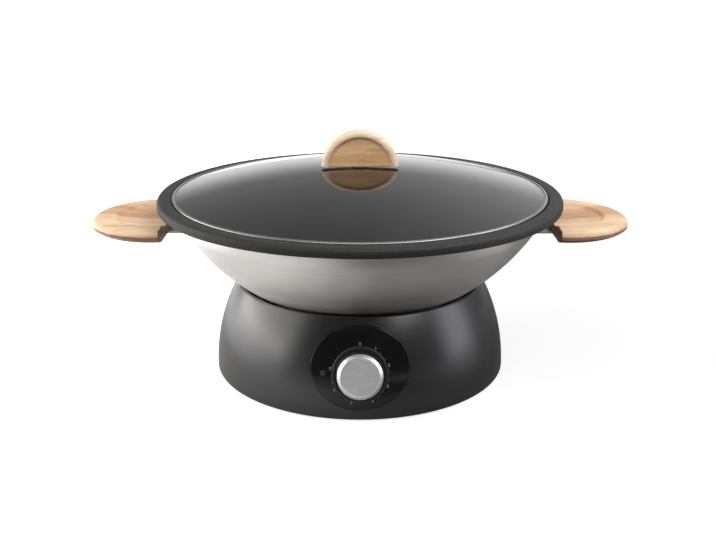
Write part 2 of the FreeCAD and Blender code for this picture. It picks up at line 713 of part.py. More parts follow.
def make_thermostat():
    """The thermostat on its steel strap, screwed to the back of the dial's well."""
    case = primitive("Box", "thermostat_case", Length="thermostat_width",
                     Width="thermostat_height", Height="thermostat_length")
    along_dial(case, across="-thermostat_width / 2", up="-thermostat_height / 2",
               out="thermostat_back")
    edges = doc.addObject("Part::Chamfer", "thermostat_edges")
    edges.Base = case
    doc.recompute()
    bevel = size("thermostat_bevel")
    edges.Edges = [(number, bevel, bevel) for number in LONG_EDGES]
    tabs = []
    for number, side in enumerate((-1, 1), start=1):
        tab = primitive("Box", f"thermostat_tab_{number}", Length="tab_wall",
                        Width="tab_width", Height="tab_length")
        tabs.append(along_dial(tab, across=f"{side} * thermostat_width / 3 - tab_wall / 2",
                               up="-tab_width / 2", out="thermostat_back - tab_length"))
    bore = along_dial(primitive("Cylinder", "thermostat_bore",
                                Radius="spindle_radius + fit_gap",
                                Height="thermostat_length * 0.62"),
                      out="strap_back - thermostat_length * 0.62")
    label(cut("thermostat_cut", fuse("thermostat_fused", edges, *tabs), bore),
          "thermostat_body")

    strap = primitive("Box", "strap_sheet", Length="strap_width",
                      Width="thermostat_height / 2", Height="strap_wall")
    along_dial(strap, across="-strap_width / 2", up="-thermostat_height / 4",
               out="strap_back")
    holes = [along_dial(primitive("Cylinder", f"strap_hole_in_{number}", Radius=radius,
                                  Height="strap_wall * 3"),
                        across=across, out="strap_back - strap_wall")
             for number, (across, radius) in enumerate((
                 ("-strap_screw_offset", "cover_screw_radius"),
                 ("0", "spindle_radius + 1.2"),
                 ("strap_screw_offset", "cover_screw_radius")), start=1)]
    label(cut("strap_cut", strap, *holes), "thermostat_bracket")
    group("thermostat_screws", *[
        screw(f"thermostat_screw_{number}", "screw_head_radius", "screw_head_height",
              "cover_screw_radius - fit_gap", "strap_wall + well_floor - 0.8",
              place=along_dial, across=f"{side} * strap_screw_offset", out="strap_back")
        for number, side in enumerate((-1, 1), start=1)])


def make_element():
    """The heater: two open turns of tube joined by a straight run, with two cold ends
    that go down through the reflector."""
    cold_x, cold_y = "cos(element_opening)", "sin(element_opening)"
    pieces = []
    for name, radius in (("inner", "element_inner"), ("outer", "element_outer")):
        turn = primitive("Torus", f"element_{name}_turn", Radius1=radius,
                         Radius2="element_tube", Angle3="360 - 2 * element_opening")
        pieces.append(put(turn, z="element_height", turn="rotationz(element_opening)"))
        for place, side in (("start", 1), ("end", -1)):
            ball = primitive("Sphere", f"element_{name}_{place}", Radius="element_tube")
            pieces.append(put(ball, x=f"{radius} * {cold_x}",
                              y=f"{side} * {radius} * {cold_y}", z="element_height"))
        pieces.append(cylinder(f"element_{name}_leg", "element_tube", "element_leg",
                               x=f"{radius} * {cold_x}", y=f"{radius} * {cold_y}",
                               z="element_height - element_leg"))
    pieces.append(cylinder("element_link", "element_tube", "element_outer - element_inner",
                           x=f"element_inner * {cold_x}",
                           y=f"-element_inner * {cold_y}", z="element_height",
                           turn="rotationz(-element_opening) * rotationy(90)"))
    label(fuse("element_fused", *pieces), "heating_element")

    bushings = []
    for name, radius in (("inner", "element_inner"), ("outer", "element_outer")):
        below = "(reflector_base - bushing_wall)"
        above = "(reflector_base + reflector_wall + bushing_wall)"
        bushings.append(put(revolved(f"bushing_{name}", [
            ("element_tube + fit_gap", below),
            ("bushing_flange", below),
            ("bushing_flange", "reflector_base"),
            ("bushing_radius", "reflector_base"),
            ("bushing_radius", "reflector_base + reflector_wall"),
            ("bushing_flange", "reflector_base + reflector_wall"),
            ("bushing_flange", above),
            ("element_tube + fit_gap", above),
        ]), x=f"{radius} * {cold_x}", y=f"{radius} * {cold_y}"))
    group("element_bushings", *bushings)


def make_support():
    """The steel star under the heater: three arms with feet on the reflector's floor."""
    body = doc.addObject("PartDesign::Body", "support_body")
    hub = sketch_on(body, "XY_Plane", "support_hub_sketch", "support_base")
    add_circle(hub, "0", "0", "sensor_radius + support_arm / 2")
    add_feature(body, "Pad", "support_hub", hub, "support_wall")
    arms = sketch_on(body, "XY_Plane", "support_arm_sketch", "support_base")
    add_loop(arms, [("-support_arm / 2", "0"), ("support_arm / 2", "0"),
                    ("support_arm / 2", "support_reach"),
                    ("-support_arm / 2", "support_reach")])
    arm = add_feature(body, "Pad", "support_arm_pad", arms, "support_wall")
    repeat_round(body, "support_arms", arm, "3")
    legs = sketch_on(body, "XY_Plane", "support_leg_sketch", "support_base")
    add_loop(legs, [("-support_arm / 2", "support_reach - support_wall"),
                    ("support_arm / 2", "support_reach - support_wall"),
                    ("support_arm / 2", "support_reach"),
                    ("-support_arm / 2", "support_reach")])
    leg = add_feature(body, "Pad", "support_leg_pad", legs,
                      "support_base - reflector_base - reflector_wall", True)
    repeat_round(body, "support_legs", leg, "3")
    room = sketch_on(body, "XY_Plane", "support_room_sketch", "support_base")
    add_circle(room, "0", "0", "sensor_radius + 2 * fit_gap")
    add_feature(body, "Pocket", "support_room", room, "support_wall", True)
    label(body, "element_support")


def make_reflector():
    """The drawn steel reflector: a flange on the housing's ledge, a curved side and a
    floor with holes for the heater's ends and the sensor's thin tube."""
    flange_out = "(mouth_radius - contact_gap)"
    flange_in = "(ledge_inner - reflector_wall)"
    floor_top = "(reflector_base + reflector_wall)"
    body = revolved("reflector_drawing", [
        ("reflector_hole", "reflector_base"),
        ("reflector_floor", "reflector_base", "reflector_round", "left"),
        (flange_in, "ledge_height"),
        (flange_out, "ledge_height"),
        (flange_out, "ledge_height + reflector_wall"),
        (f"{flange_in} - reflector_wall", "ledge_height + reflector_wall",
         "reflector_round", "right"),
        ("reflector_floor - reflector_wall / 2", floor_top),
        ("reflector_hole", floor_top),
    ])
    openings = sketch_on(body, "XY_Plane", "bushing_hole_sketch", "reflector_base")
    for radius in ("element_inner", "element_outer"):
        add_circle(openings, f"{radius} * cos(element_opening)",
                   f"{radius} * sin(element_opening)", "bushing_radius")
    add_feature(body, "Pocket", "bushing_holes", openings, "reflector_wall", True)
    holes = sketch_on(body, "XY_Plane", "flange_hole_sketch", "ledge_height")
    add_circle(holes, "0", "mouth_radius - ledge_width / 2", "cover_screw_radius")
    hole = add_feature(body, "Pocket", "flange_hole", holes, "reflector_wall", True)
    repeat_round(body, "flange_holes", hole, "3")
    label(body, "reflector_bowl")

    ring = "(mouth_radius - ledge_width / 2)"
    group("reflector_screws", *[
        screw(f"reflector_screw_{number}", "ledge_width / 2 - contact_gap",
              "screw_head_height", "cover_screw_radius - fit_gap", "housing_wall + 2",
              x=f"{ring} * cos({90 + 120 * number})", y=f"{ring} * sin({90 + 120 * number})",
              z="ledge_height + reflector_wall", turn="rotationx(180)")
        for number in range(3)])


def make_sensor():
    """The sprung temperature sensor in the middle of the heater and its thin tube."""
    top = "(wok_floor - contact_gap)"
    foot = f"({top} - sensor_height)"
    cup = revolved("sensor_cup", [
        ("0", foot),
        ("sensor_radius - 1.2", foot),
        ("sensor_radius", f"{foot} + 1.2"),
        ("sensor_radius", f"{top} - 0.8"),
        ("sensor_radius - 0.8", top),
        ("0", top),
    ])
    label(cup, "sensor_probe")

    low = "(reflector_base + reflector_wall + spring_wire + 0.1)"
    coil = primitive("Helix", "spring_line", Radius="spring_radius",
                     Height=f"{foot} - {low} - spring_wire - 0.1",
                     Pitch=f"({foot} - {low} - spring_wire - 0.1) / spring_turns")
    put(coil, z=low)
    section = primitive("Circle", "spring_section", Radius="spring_wire")
    put(section, x="spring_radius", z=low, turn="rotationx(90)")
    spring = doc.addObject("Part::Sweep", "spring_sweep")
    spring.Sections = [section]
    spring.Spine = (coil, [])
    spring.Solid = True
    spring.Frenet = True
    label(spring, "sensor_spring")

    label(tube("capillary_line", [
        ("0", "0", f"{foot} - fit_gap"),
        ("0", "0", "reflector_base - lead_drop"),
        ("capillary_radius * 6", "-element_inner * 1.4", "reflector_base - lead_drop * 1.3"),
        behind_dial("0", "(thermostat_back - thermostat_length)"),
        behind_dial("0", "(thermostat_back - fit_gap)"),
    ], "capillary_radius"), "capillary_tube")


def make_fuse():
    """The thermal fuse under the reflector, held by its clip."""
    fuse_height = "(reflector_base - fuse_radius - 0.3)"
    link = cylinder("fuse_body", "fuse_radius", "fuse_length", x="-fuse_length / 2",
                    y="fuse_offset", z=fuse_height, turn="rotationy(90)")
    label(link, "thermal_fuse")
    clip = box("fuse_clip_block", "fuse_length / 2", "fuse_radius * 4",
               "fuse_radius + 1.6", y="fuse_offset", z="reflector_base - fuse_radius - 1.6")
    groove = cylinder("fuse_clip_groove", "fuse_radius + fit_gap", "fuse_length",
                      x="-fuse_length / 2", y="fuse_offset", z=fuse_height,
                      turn="rotationy(90)")
    label(cut("fuse_clip_cut", clip, groove), "fuse_clip")


def make_terminal_block():
    """The terminal block on the bottom cover: three poles, a screw well and a lead hole
    at each end of every pole."""
    body = doc.addObject("PartDesign::Body", "terminal_body")
    base = sketch_on(body, "XY_Plane", "terminal_base_sketch", "cover_top")
    near, far = "block_offset - block_length / 2", "block_offset + block_length / 2"
    add_loop(base, [("-block_width / 2", near), ("block_width / 2", near),
                    ("block_width / 2", far), ("-block_width / 2", far)])
    add_feature(body, "Pad", "terminal_pad", base, "block_height")
    wells = sketch_on(body, "XY_Plane", "terminal_well_sketch", "block_top")
    for pole in (-1, 0, 1):
        for side in (-1, 1):
            add_circle(wells, f"{pole} * terminal_pitch",
                       f"block_offset + {side} * block_length / 4", "terminal_radius")
    add_feature(body, "Pocket", "terminal_wells", wells, "block_height / 2")
    label(body, "terminal_block")


def make_leads():
    """The insulated leads inside the base, each with its real route."""
    front = "block_offset - block_length / 2 - fit_gap"
    lead_height = "cover_top + block_height / 2"
    tab_x = "thermostat_width / 3"
    tab_end = "(thermostat_back - tab_length - 0.2)"
    fuse_end = "fuse_length / 2 + 2 * fit_gap"
    fuse_height = "reflector_base - fuse_radius - 0.3"
    leg_foot = "element_height - element_leg - fit_gap"
    low, high = "(cover_top + lead_rise)", "(reflector_base - lead_drop)"
    inner = ("element_inner * cos(element_opening)", "element_inner * sin(element_opening)")
    outer = ("element_outer * cos(element_opening)", "element_outer * sin(element_opening)")
    routes = {
        "lead_live": [
            ("terminal_pitch", front, lead_height),
            ("terminal_pitch", "block_offset * 0.7", lead_height),
            ("block_offset * 0.44", "block_offset * 0.56", low),
            ("block_offset * 0.8", "block_offset * 0.15", low),
            ("block_offset * 0.7", "-block_offset / 2", low),
            behind_dial(f"{tab_x} * 1.4", f"({tab_end} - thermostat_length * 1.2)"),
            behind_dial(tab_x, f"({tab_end} - thermostat_length / 2)"),
            behind_dial(tab_x, tab_end)],
        "lead_neutral": [
            ("0", front, lead_height), ("0", "block_offset * 0.65", lead_height),
            ("element_outer * 0.45", "element_outer * 0.7", low),
            (*outer, f"{low} + wire_radius"), (*outer, leg_foot)],
        "lead_switched": [
            behind_dial(f"-{tab_x}", tab_end),
            behind_dial(f"-{tab_x}", f"({tab_end} - thermostat_length * 0.6)"),
            ("-element_outer * 0.75", "-element_outer", high),
            ("-element_outer * 0.9", "-element_outer * 0.2", high),
            ("-fuse_length * 2", "fuse_offset", fuse_height),
            (f"-({fuse_end})", "fuse_offset", fuse_height)],
        "lead_heater": [
            (fuse_end, "fuse_offset", fuse_height),
            ("fuse_length * 1.4", "fuse_offset", fuse_height),
            (*inner, f"{high} - wire_radius"), (*inner, leg_foot)],
    }
    group("internal_leads", *[tube(name, route, "wire_radius")
                              for name, route in routes.items()])


def make_inlet():
    """The cord's inlet bushing in the rear wall, and the clamp behind it."""
    wall_out = ("(barrel_middle + sqrt(barrel_radius ^ 2"
                " - (gland_height + gland_flange - foot_drop) ^ 2))")
    outer_seat = "(base_radius + 0.1)"
    inner_seat = f"({wall_out} - housing_wall - 0.4)"
    bushing = revolved("gland_body", [
        ("cord_bore", f"{inner_seat} - 3"),
        ("gland_radius", f"{inner_seat} - 3"),
        ("gland_inner", f"{inner_seat} - 1.5"),
        ("gland_inner", inner_seat),
        ("gland_radius", inner_seat),
        ("gland_radius", outer_seat),
        ("gland_flange", outer_seat),
        ("gland_flange", f"{outer_seat} + gland_stand - 1", "1.2", "left"),
        ("gland_flange - 1", f"{outer_seat} + gland_stand"),
        ("cord_bore", f"{outer_seat} + gland_stand"),
    ])
    put(bushing, z="gland_height", turn="rotationx(-90)")
    label(bushing, "cord_gland")

    clamp_base = "(gland_height - cord_bore)"
    saddle = box("clamp_block", "clamp_width", "clamp_length",
                 "2 * cord_bore + clamp_cap - 0.1", y="clamp_offset",
                 z=f"{clamp_base} + 0.1")
    channel = cylinder("clamp_channel", "cord_bore", "clamp_length * 2",
                       y="clamp_offset - clamp_length", z="gland_height",
                       turn="rotationx(-90)")
    mouth = box("clamp_mouth", "cord_bore * 2", "clamp_length * 2", "cord_bore",
                y="clamp_offset", z=clamp_base)
    holes = [cylinder(f"clamp_hole_{number}", "cover_screw_radius", "clamp_width",
                      x=f"{side} * clamp_screw_offset", y="clamp_offset",
                      z=f"{clamp_base} - 1")
             for number, side in enumerate((-1, 1), start=1)]
    label(cut("clamp_cut", saddle, channel, mouth, *holes), "cord_clamp")
    group("clamp_screws", *[
        screw(f"clamp_screw_{number}", "screw_head_radius", "screw_head_height",
              "cover_screw_radius - fit_gap", "2 * cord_bore + clamp_cap + 6",
              x=f"{side} * clamp_screw_offset", y="clamp_offset",
              z=f"{clamp_base} + 2 * cord_bore + clamp_cap", turn="rotationx(180)")
        for number, side in enumerate((-1, 1), start=1)])


def make_bottom():
    """The bottom cover with its radial vents, foot holes, screw holes and the plinth of
    the cord clamp; its four screws; and the four push-in rubber feet."""
    cover_edge = "(base_radius - housing_wall - cover_gap)"
    body = revolved("cover_disc", [
        ("0", "cover_base"),
        (cover_edge, "cover_base"),
        (cover_edge, "cover_top"),
        ("0", "cover_top"),
    ])
    vents = sketch_on(body, "XY_Plane", "vent_sketch", "cover_base")
    half = "vent_width / 2"
    add_loop(vents, [
        (half, "vent_start"),
        (half, "vent_end", "vent_width * 0.55", "left"),
        (f"-{half}", "vent_end"),
        (f"-{half}", "vent_start", "vent_width * 0.55", "left"),
    ])
    vent = add_feature(body, "Pocket", "vent", vents, "cover_wall", True)
    repeat_round(body, "vents", vent, "vent_count")
    foot_place = "(foot_ring / sqrt(2))"
    boss_place = "(boss_ring / sqrt(2))"
    openings = sketch_on(body, "XY_Plane", "cover_hole_sketch", "cover_base")
    add_circle(openings, foot_place, foot_place, "foot_neck + fit_gap")
    add_circle(openings, boss_place, boss_place, "cover_screw_radius + fit_gap")
    hole = add_feature(body, "Pocket", "cover_hole", openings, "cover_wall", True)
    repeat_round(body, "cover_holes", hole, "4")
    plinth = sketch_on(body, "XY_Plane", "plinth_sketch", "cover_top")
    add_loop(plinth, [
        ("-clamp_width / 2", "clamp_offset - clamp_length / 2"),
        ("clamp_width / 2", "clamp_offset - clamp_length / 2"),
        ("clamp_width / 2", "clamp_offset + clamp_length / 2"),
        ("-clamp_width / 2", "clamp_offset + clamp_length / 2"),
    ])
    add_feature(body, "Pad", "plinth", plinth, "gland_height - cord_bore - cover_top")
    drill = sketch_on(body, "XY_Plane", "plinth_hole_sketch", "gland_height - cord_bore")
    for side in (-1, 1):
        add_circle(drill, f"{side} * clamp_screw_offset", "clamp_offset",
                   "cover_screw_radius")
    add_feature(body, "Pocket", "plinth_holes", drill, "7")
    label(body, "bottom_cover")

    group("cover_screws", *[
        screw(f"cover_screw_{number}", "screw_head_radius", "cover_recess - 0.1",
              "cover_screw_radius - fit_gap", "cover_wall + boss_height - rib_wall - 2",
              x=f"boss_ring * cos({45 + 90 * number})",
              y=f"boss_ring * sin({45 + 90 * number})", z="cover_base")
        for number in range(4)])
    for name, angle in (("rear_right", 45), ("rear_left", 135),
                        ("front_left", 225), ("front_right", 315)):
        foot = revolved(f"foot_body_{name}", [
            ("0", "0"),
            ("foot_radius - 1", "0"),
            ("foot_radius", "1"),
            ("foot_radius - 0.5", "cover_base"),
            ("foot_neck", "cover_base"),
            ("foot_neck", "cover_top"),
            ("foot_head", "cover_top"),
            ("foot_neck * 0.8", "cover_top + 3"),
            ("0", "cover_top + 3"),
        ])
        put(foot, x=f"foot_ring * cos({angle})", y=f"foot_ring * sin({angle})")
        label(foot, f"foot_{name}")


# ------------------------------------------------------------------------------ wok


def make_wok():
    """The spun wok: a flat, a spherical bowl, a collar, the ledge and step for the lid,
    and a wide rim with a rolled, turned-down edge."""
    collar_base = "(rim_top - collar_height)"
    inner = "(wok_radius - wok_wall)"
    floor_in = "(wok_floor + wok_wall)"
    flat_in = f"sqrt({inner} ^ 2 - (wok_middle - {floor_in}) ^ 2)"
    collar_out = f"(sqrt(wok_radius ^ 2 - (wok_middle - {collar_base}) ^ 2))"
    collar_in = f"(sqrt({inner} ^ 2 - (wok_middle - {collar_base}) ^ 2))"
    ledge_in = "(lid_seat_radius - lid_ledge_width)"
    ledge_under = "(lid_ledge - wok_wall)"
    body = revolved("wok_spinning", [
        ("0", "wok_floor"),
        ("wok_flat_radius", "wok_floor", "wok_radius", "left"),
        (collar_out, collar_base),
        (f"{ledge_in} + wok_wall", f"{ledge_under} - collar_round", "collar_round", "right"),
        (f"{ledge_in} + wok_wall + collar_round", ledge_under),
        ("lid_seat_radius + wok_wall", ledge_under),
        ("lid_seat_radius + wok_wall", "rim_top - wok_wall"),
        ("rim_radius - wok_wall", "rim_top - wok_wall"),
        ("rim_radius - wok_wall", "rim_top - rim_skirt"),
        ("rim_radius", "rim_top - rim_skirt"),
        ("rim_radius", "rim_top - rim_round", "rim_round", "left"),
        ("rim_radius - rim_round", "rim_top"),
        ("lid_seat_radius", "rim_top"),
        ("lid_seat_radius", "lid_ledge"),
        (f"{ledge_in} + wok_wall + collar_round", "lid_ledge",
         "collar_round + wok_wall", "left"),
        (ledge_in, f"{ledge_under} - collar_round"),
        (collar_in, collar_base, inner, "right"),
        (flat_in, floor_in),
        ("0", floor_in),
    ])
    label(body, "wok_pan")


def make_side_grip(name, turn):
    """One side grip: a turned wooden half-disc with a thumb hollow and a swept underside,
    on a steel bracket that is spot-welded to the bowl."""
    tip = "grip_disc_radius"
    wood = revolved(f"{name}_turning", [
        ("0", "grip_base"),
        (f"{tip} - grip_bevel_width", "grip_base", "grip_bevel_width * 1.6", "left"),
        (tip, "grip_base + grip_bevel_height"),
        (tip, "grip_top - grip_round", "grip_round", "left"),
        (f"{tip} - grip_round", "grip_top"),
        ("grip_recess_radius + 1", "grip_top", "2", "left"),
        ("grip_recess_radius", "grip_top - 0.6"),
        ("grip_recess_radius - 2", "grip_top - grip_recess_depth"),
        ("0", "grip_top - grip_recess_depth"),
    ])
    put(wood, x=f"{turn} * grip_middle")
    screw_places = [f"grip_inner_reach + grip_screw_first + {number} * grip_screw_pitch"
                    for number in (0, 1)]
    off_cut = box(f"{name}_off_cut", "2 * grip_disc_radius", "2 * grip_disc_radius + 2",
                  "grip_wall + 2", x=f"{turn} * (grip_inner_reach - grip_disc_radius)",
                  z="grip_base - 1")
    slot = box(f"{name}_slot", "bracket_tongue", "bracket_width + 2 * fit_gap",
               "bracket_wall", x=f"{turn} * (grip_inner_reach + bracket_tongue / 2 - fit_gap)",
               z="grip_base")
    holes = [cylinder(f"{name}_hole_{number}", "grip_screw_radius",
                      "grip_screw_length", x=f"{turn} * ({place})",
                      z="grip_base")
             for number, place in enumerate(screw_places, start=1)]
    label(cut(f"{name}_cut", wood, off_cut, slot, *holes), name)


def make_bracket(name, turn):
    """The bracket: a tab that follows the bowl, and a tongue let into the grip."""
    bowl = put(primitive("Sphere", f"{name}_bowl", Radius="wok_radius + weld_gap"),
               z="wok_middle")
    outer_bowl = put(primitive("Sphere", f"{name}_outer_bowl",
                               Radius="wok_radius + weld_gap + bracket_wall"),
                     z="wok_middle")
    tab_block = box(f"{name}_tab_block", "60", "bracket_width", "bracket_tab",
                    x=f"{turn} * (grip_inner_reach - 15)",
                    z="grip_base + bracket_wall - bracket_tab")
    tab = common(f"{name}_tab", tab_block, outer_bowl)
    tongue_end = "(grip_inner_reach + bracket_tongue - fit_gap * 2)"
    root = "(grip_inner_reach - 30)"
    tongue = box(f"{name}_tongue", f"{tongue_end} - {root}", "bracket_width", "bracket_wall",
                 x=f"{turn} * ({tongue_end} + {root}) / 2", z="grip_base")
    holes = [cylinder(f"{name}_hole_{number}", "grip_screw_radius", "bracket_wall * 3",
                      x=f"{turn} * (grip_inner_reach + grip_screw_first"
                        f" + {number} * grip_screw_pitch)",
                      z="grip_base - bracket_wall")
             for number in (0, 1)]
    label(cut(f"{name}_cut", fuse(f"{name}_fused", tab, tongue), bowl, *holes), name)


def make_grip_screws():
    """Two screws from below into each side grip."""
    group("grip_screws", *[
        screw(f"grip_screw_{side_name}_{number}", "screw_head_radius", "screw_head_height",
              "grip_screw_radius - fit_gap", "grip_screw_length - fit_gap",
              x=f"{side} * (grip_inner_reach + grip_screw_first + {number} * grip_screw_pitch)",
              z="grip_base")
        for side_name, side in (("left", -1), ("right", 1)) for number in (0, 1)])


# ------------------------------------------------------------------------------ lid


def make_lid():
    """The glass dome with its steel band, and what holds the wooden knob on it."""
    edge_top = "(glass_edge + glass_wall)"
    under_top = "(glass_top - glass_wall)"
    hole_drop = "(dome_radius - sqrt(dome_radius ^ 2 - lid_hole_radius ^ 2))"
    glass = revolved("glass_dome", [
        ("lid_hole_radius", f"glass_top - {hole_drop}"),
        ("lid_hole_radius", f"{under_top} - {hole_drop}", "dome_radius", "right"),
        ("glass_radius", "glass_edge"),
        ("glass_radius", edge_top, "dome_radius", "left"),
    ])
    label(glass, "lid_glass")

    lip_in = "(lid_radius - band_lip)"
    rise = "(band_lip - band_wall) * dome_slope"
    band = revolved("band_ring", [
        (lip_in, f"glass_edge + {rise} - band_wall"),
        ("lid_radius - 0.5", "glass_edge - band_wall"),
        ("lid_radius", "glass_edge - band_wall + 0.5"),
        ("lid_radius", f"{edge_top} + band_wall - 0.6", "0.8", "left"),
        ("lid_radius - 0.6", f"{edge_top} + band_wall"),
        (lip_in, f"{edge_top} + {rise} + band_wall"),
        (lip_in, f"{edge_top} + {rise}"),
        ("glass_radius", edge_top),
        ("glass_radius", "glass_edge"),
        (lip_in, f"glass_edge + {rise} - 0.05"),
    ])
    label(band, "lid_rim")

    gasket = revolved("gasket_ring", [
        ("lid_hole_radius", "glass_top"),
        ("gasket_radius", "glass_top"),
        ("gasket_radius", "lid_grip_base"),
        ("lid_hole_radius", "lid_grip_base"),
    ])
    label(gasket, "lid_gasket")
    washer_top = f"({under_top} - 0.15)"
    washer = revolved("washer_ring", [
        ("lid_screw_radius + fit_gap", f"{washer_top} - lid_washer_wall"),
        ("lid_washer_radius - 0.5", f"{washer_top} - lid_washer_wall"),
        ("lid_washer_radius", f"{washer_top} - lid_washer_wall + 0.5"),
        ("lid_washer_radius", washer_top),
        ("lid_screw_radius + fit_gap", washer_top),
    ])
    label(washer, "lid_washer")
    screw_body = screw("lid_screw_body", "screw_head_radius + 0.4", "screw_head_height",
                       "lid_screw_radius", "lid_screw_length",
                       z=f"{washer_top} - lid_washer_wall")
    label(screw_body, "lid_screw")
    insert = revolved("insert_ring", [
        ("lid_screw_radius + fit_gap", "lid_grip_base"),
        ("insert_radius", "lid_grip_base"),
        ("insert_radius", "lid_grip_base + insert_length"),
        ("lid_screw_radius + fit_gap", "lid_grip_base + insert_length"),
    ])
    label(insert, "lid_insert")


def make_lid_grip():
    """The wooden knob: an upright half-disc, turned about the front-to-back axis, with a
    hollow in each face and rounded edges, cut flat where it stands on the gasket."""
    half = "(lid_grip_width / 2)"
    hollow = "(lid_grip_radius - lid_grip_border)"
    disc = revolved("lid_grip_disc", [
        ("0", f"-{half} + lid_grip_recess"),
        (f"{hollow} - 1.5", f"-{half} + lid_grip_recess"),
        (hollow, f"-{half}"),
        ("lid_grip_radius - lid_grip_round", f"-{half}", "lid_grip_round", "left"),
        ("lid_grip_radius", f"-{half} + lid_grip_round"),
        ("lid_grip_radius", f"{half} - lid_grip_round", "lid_grip_round", "left"),
        ("lid_grip_radius - lid_grip_round", half),
        (hollow, half),
        (f"{hollow} - 1.5", f"{half} - lid_grip_recess"),
        ("0", f"{half} - lid_grip_recess"),
    ])
    put(disc, z="lid_grip_middle", turn="rotationx(90)")
    off_cut = box("lid_grip_off_cut", "2 * lid_grip_radius + 2", "lid_grip_width + 2",
                  "2 * lid_grip_radius", z="lid_grip_base - 2 * lid_grip_radius")
    hole = cylinder("lid_grip_hole", "insert_radius", "insert_length + 5",
                    z="lid_grip_base")
    label(cut("lid_grip_cut", disc, off_cut, hole), "lid_grip")


# ---------------------------------------------------------------------- build and check

MAKERS = (make_housing, make_panel, make_scale_ring, make_knob, make_pilot_lamp,
          make_thermostat, make_element, make_support, make_reflector, make_sensor,
          make_fuse, make_terminal_block, make_leads, make_inlet, make_bottom,
          make_wok, make_grip_screws, make_lid, make_lid_grip)


def check_and_write():
    """Stop at any failed object or bad shape, and then write one file for each sub-part."""
    doc.recompute()
    failed = [item.Name for item in doc.Objects
              if "Invalid" in item.State or "Error" in item.State]
    for item in sub_parts:
        if item.Shape.isNull() or not item.Shape.isValid() or not item.Shape.Solids:
            failed.append(item.Label)
    if failed:
        raise RuntimeError("failed: " + ", ".join(failed))
    os.makedirs("parts", exist_ok=True)
    for item in sub_parts:
        item.Shape.exportStep(os.path.join("parts", item.Label + ".step"))
        print(f"{item.Label}: {len(item.Shape.Solids)} solids, {item.Shape.Volume:.0f} mm3")


fill_sheet()
for make in MAKERS:
    make()
for side_name, side in (("left", -1), ("right", 1)):
    make_side_grip(f"grip_{side_name}", side)
    make_bracket(f"bracket_{side_name}", side)
check_and_write()
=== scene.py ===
import json
import math

import bmesh
import bpy
from mathutils import Matrix, Vector


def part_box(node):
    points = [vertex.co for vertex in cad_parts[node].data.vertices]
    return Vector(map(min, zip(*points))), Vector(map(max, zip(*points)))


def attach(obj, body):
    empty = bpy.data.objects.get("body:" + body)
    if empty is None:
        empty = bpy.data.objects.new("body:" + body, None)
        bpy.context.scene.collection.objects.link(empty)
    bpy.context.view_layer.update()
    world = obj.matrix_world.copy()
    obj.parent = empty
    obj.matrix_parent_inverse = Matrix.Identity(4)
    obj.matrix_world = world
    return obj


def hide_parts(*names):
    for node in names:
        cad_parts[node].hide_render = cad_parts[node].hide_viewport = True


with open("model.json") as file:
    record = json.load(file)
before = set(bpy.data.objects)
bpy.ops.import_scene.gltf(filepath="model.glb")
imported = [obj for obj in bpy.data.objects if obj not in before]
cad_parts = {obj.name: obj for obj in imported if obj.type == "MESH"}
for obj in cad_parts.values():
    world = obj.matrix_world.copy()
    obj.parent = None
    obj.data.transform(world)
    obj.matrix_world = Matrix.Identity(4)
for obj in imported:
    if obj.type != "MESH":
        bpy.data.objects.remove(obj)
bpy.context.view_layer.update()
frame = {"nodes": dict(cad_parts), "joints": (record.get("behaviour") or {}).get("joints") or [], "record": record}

# The object's lengths are millimetres, and MM turns them into Blender's metres. The camera,
# the floor, the world and the lamps are placed in metres.
MM = 0.001

# ---- places from the frame


def cad(node):
    """The lowest and highest corner of a CAD node, in millimetres."""
    low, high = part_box(node)
    return low / MM, high / MM


WOK_LOW, WOK_HIGH = cad("wok_pan")
GLAND_LOW, GLAND_HIGH = cad("cord_gland")
DIAL = next(joint for joint in frame["joints"] if joint["name"] == "knob_turn")
DIAL_AT = Vector(DIAL["pos_m"]) / MM
DIAL_OUT = -Vector(DIAL["axis"]).normalized()
DIAL_TILT = math.asin(DIAL_OUT.z)
DIAL_UP = Vector((0, DIAL_OUT.z, -DIAL_OUT.y))
DIAL_FRAME = Matrix.Translation(DIAL_AT) @ Matrix.Rotation(
    math.radians(90) - DIAL_TILT, 4, "X")

# wok
WOK_RADIUS = 197
WOK_WALL = 2.5
WOK_FLAT = 55
WOK_FLOOR = WOK_LOW.z
WOK_MIDDLE = WOK_FLOOR + math.sqrt(WOK_RADIUS ** 2 - WOK_FLAT ** 2)
RIM_TOP = WOK_HIGH.z
RIM_RADIUS = 190
RIM_WIDTH = 13
RIM_ROUND = 4
RIM_SKIRT = 8
LID_SEAT = RIM_RADIUS - RIM_WIDTH
LID_SEAT_DEPTH = 4.6
LEDGE_WIDTH = 6
COLLAR = 21.4
COLLAR_ROUND = 1

# housing
BASE_RADIUS = 141
BASE_TOP_RADIUS = 118.4
BASE_TOP = 89.7
CREST_ROUND = 2
HOUSING_WALL = 2.8
SEAT_GAP = 2.5
MOUTH_INSET = 11.4
MOUTH = BASE_TOP_RADIUS - MOUTH_INSET
LEDGE_DROP = 2.65
LEDGE = 7
FOOT_DROP = cad("base_housing")[0].z
WALL_RISE = BASE_TOP - CREST_ROUND - FOOT_DROP
WALL_DRAW = BASE_RADIUS - BASE_TOP_RADIUS
BARREL = (WALL_DRAW ** 2 + WALL_RISE ** 2) / (2 * WALL_DRAW)
BARREL_MIDDLE = BASE_RADIUS - BARREL
COVER_WALL = 2.5
BOSS_INSET = 17
BOSS_RING = BASE_RADIUS - BOSS_INSET
GLAND_NECK = 6
GLAND_GAP = 0.1

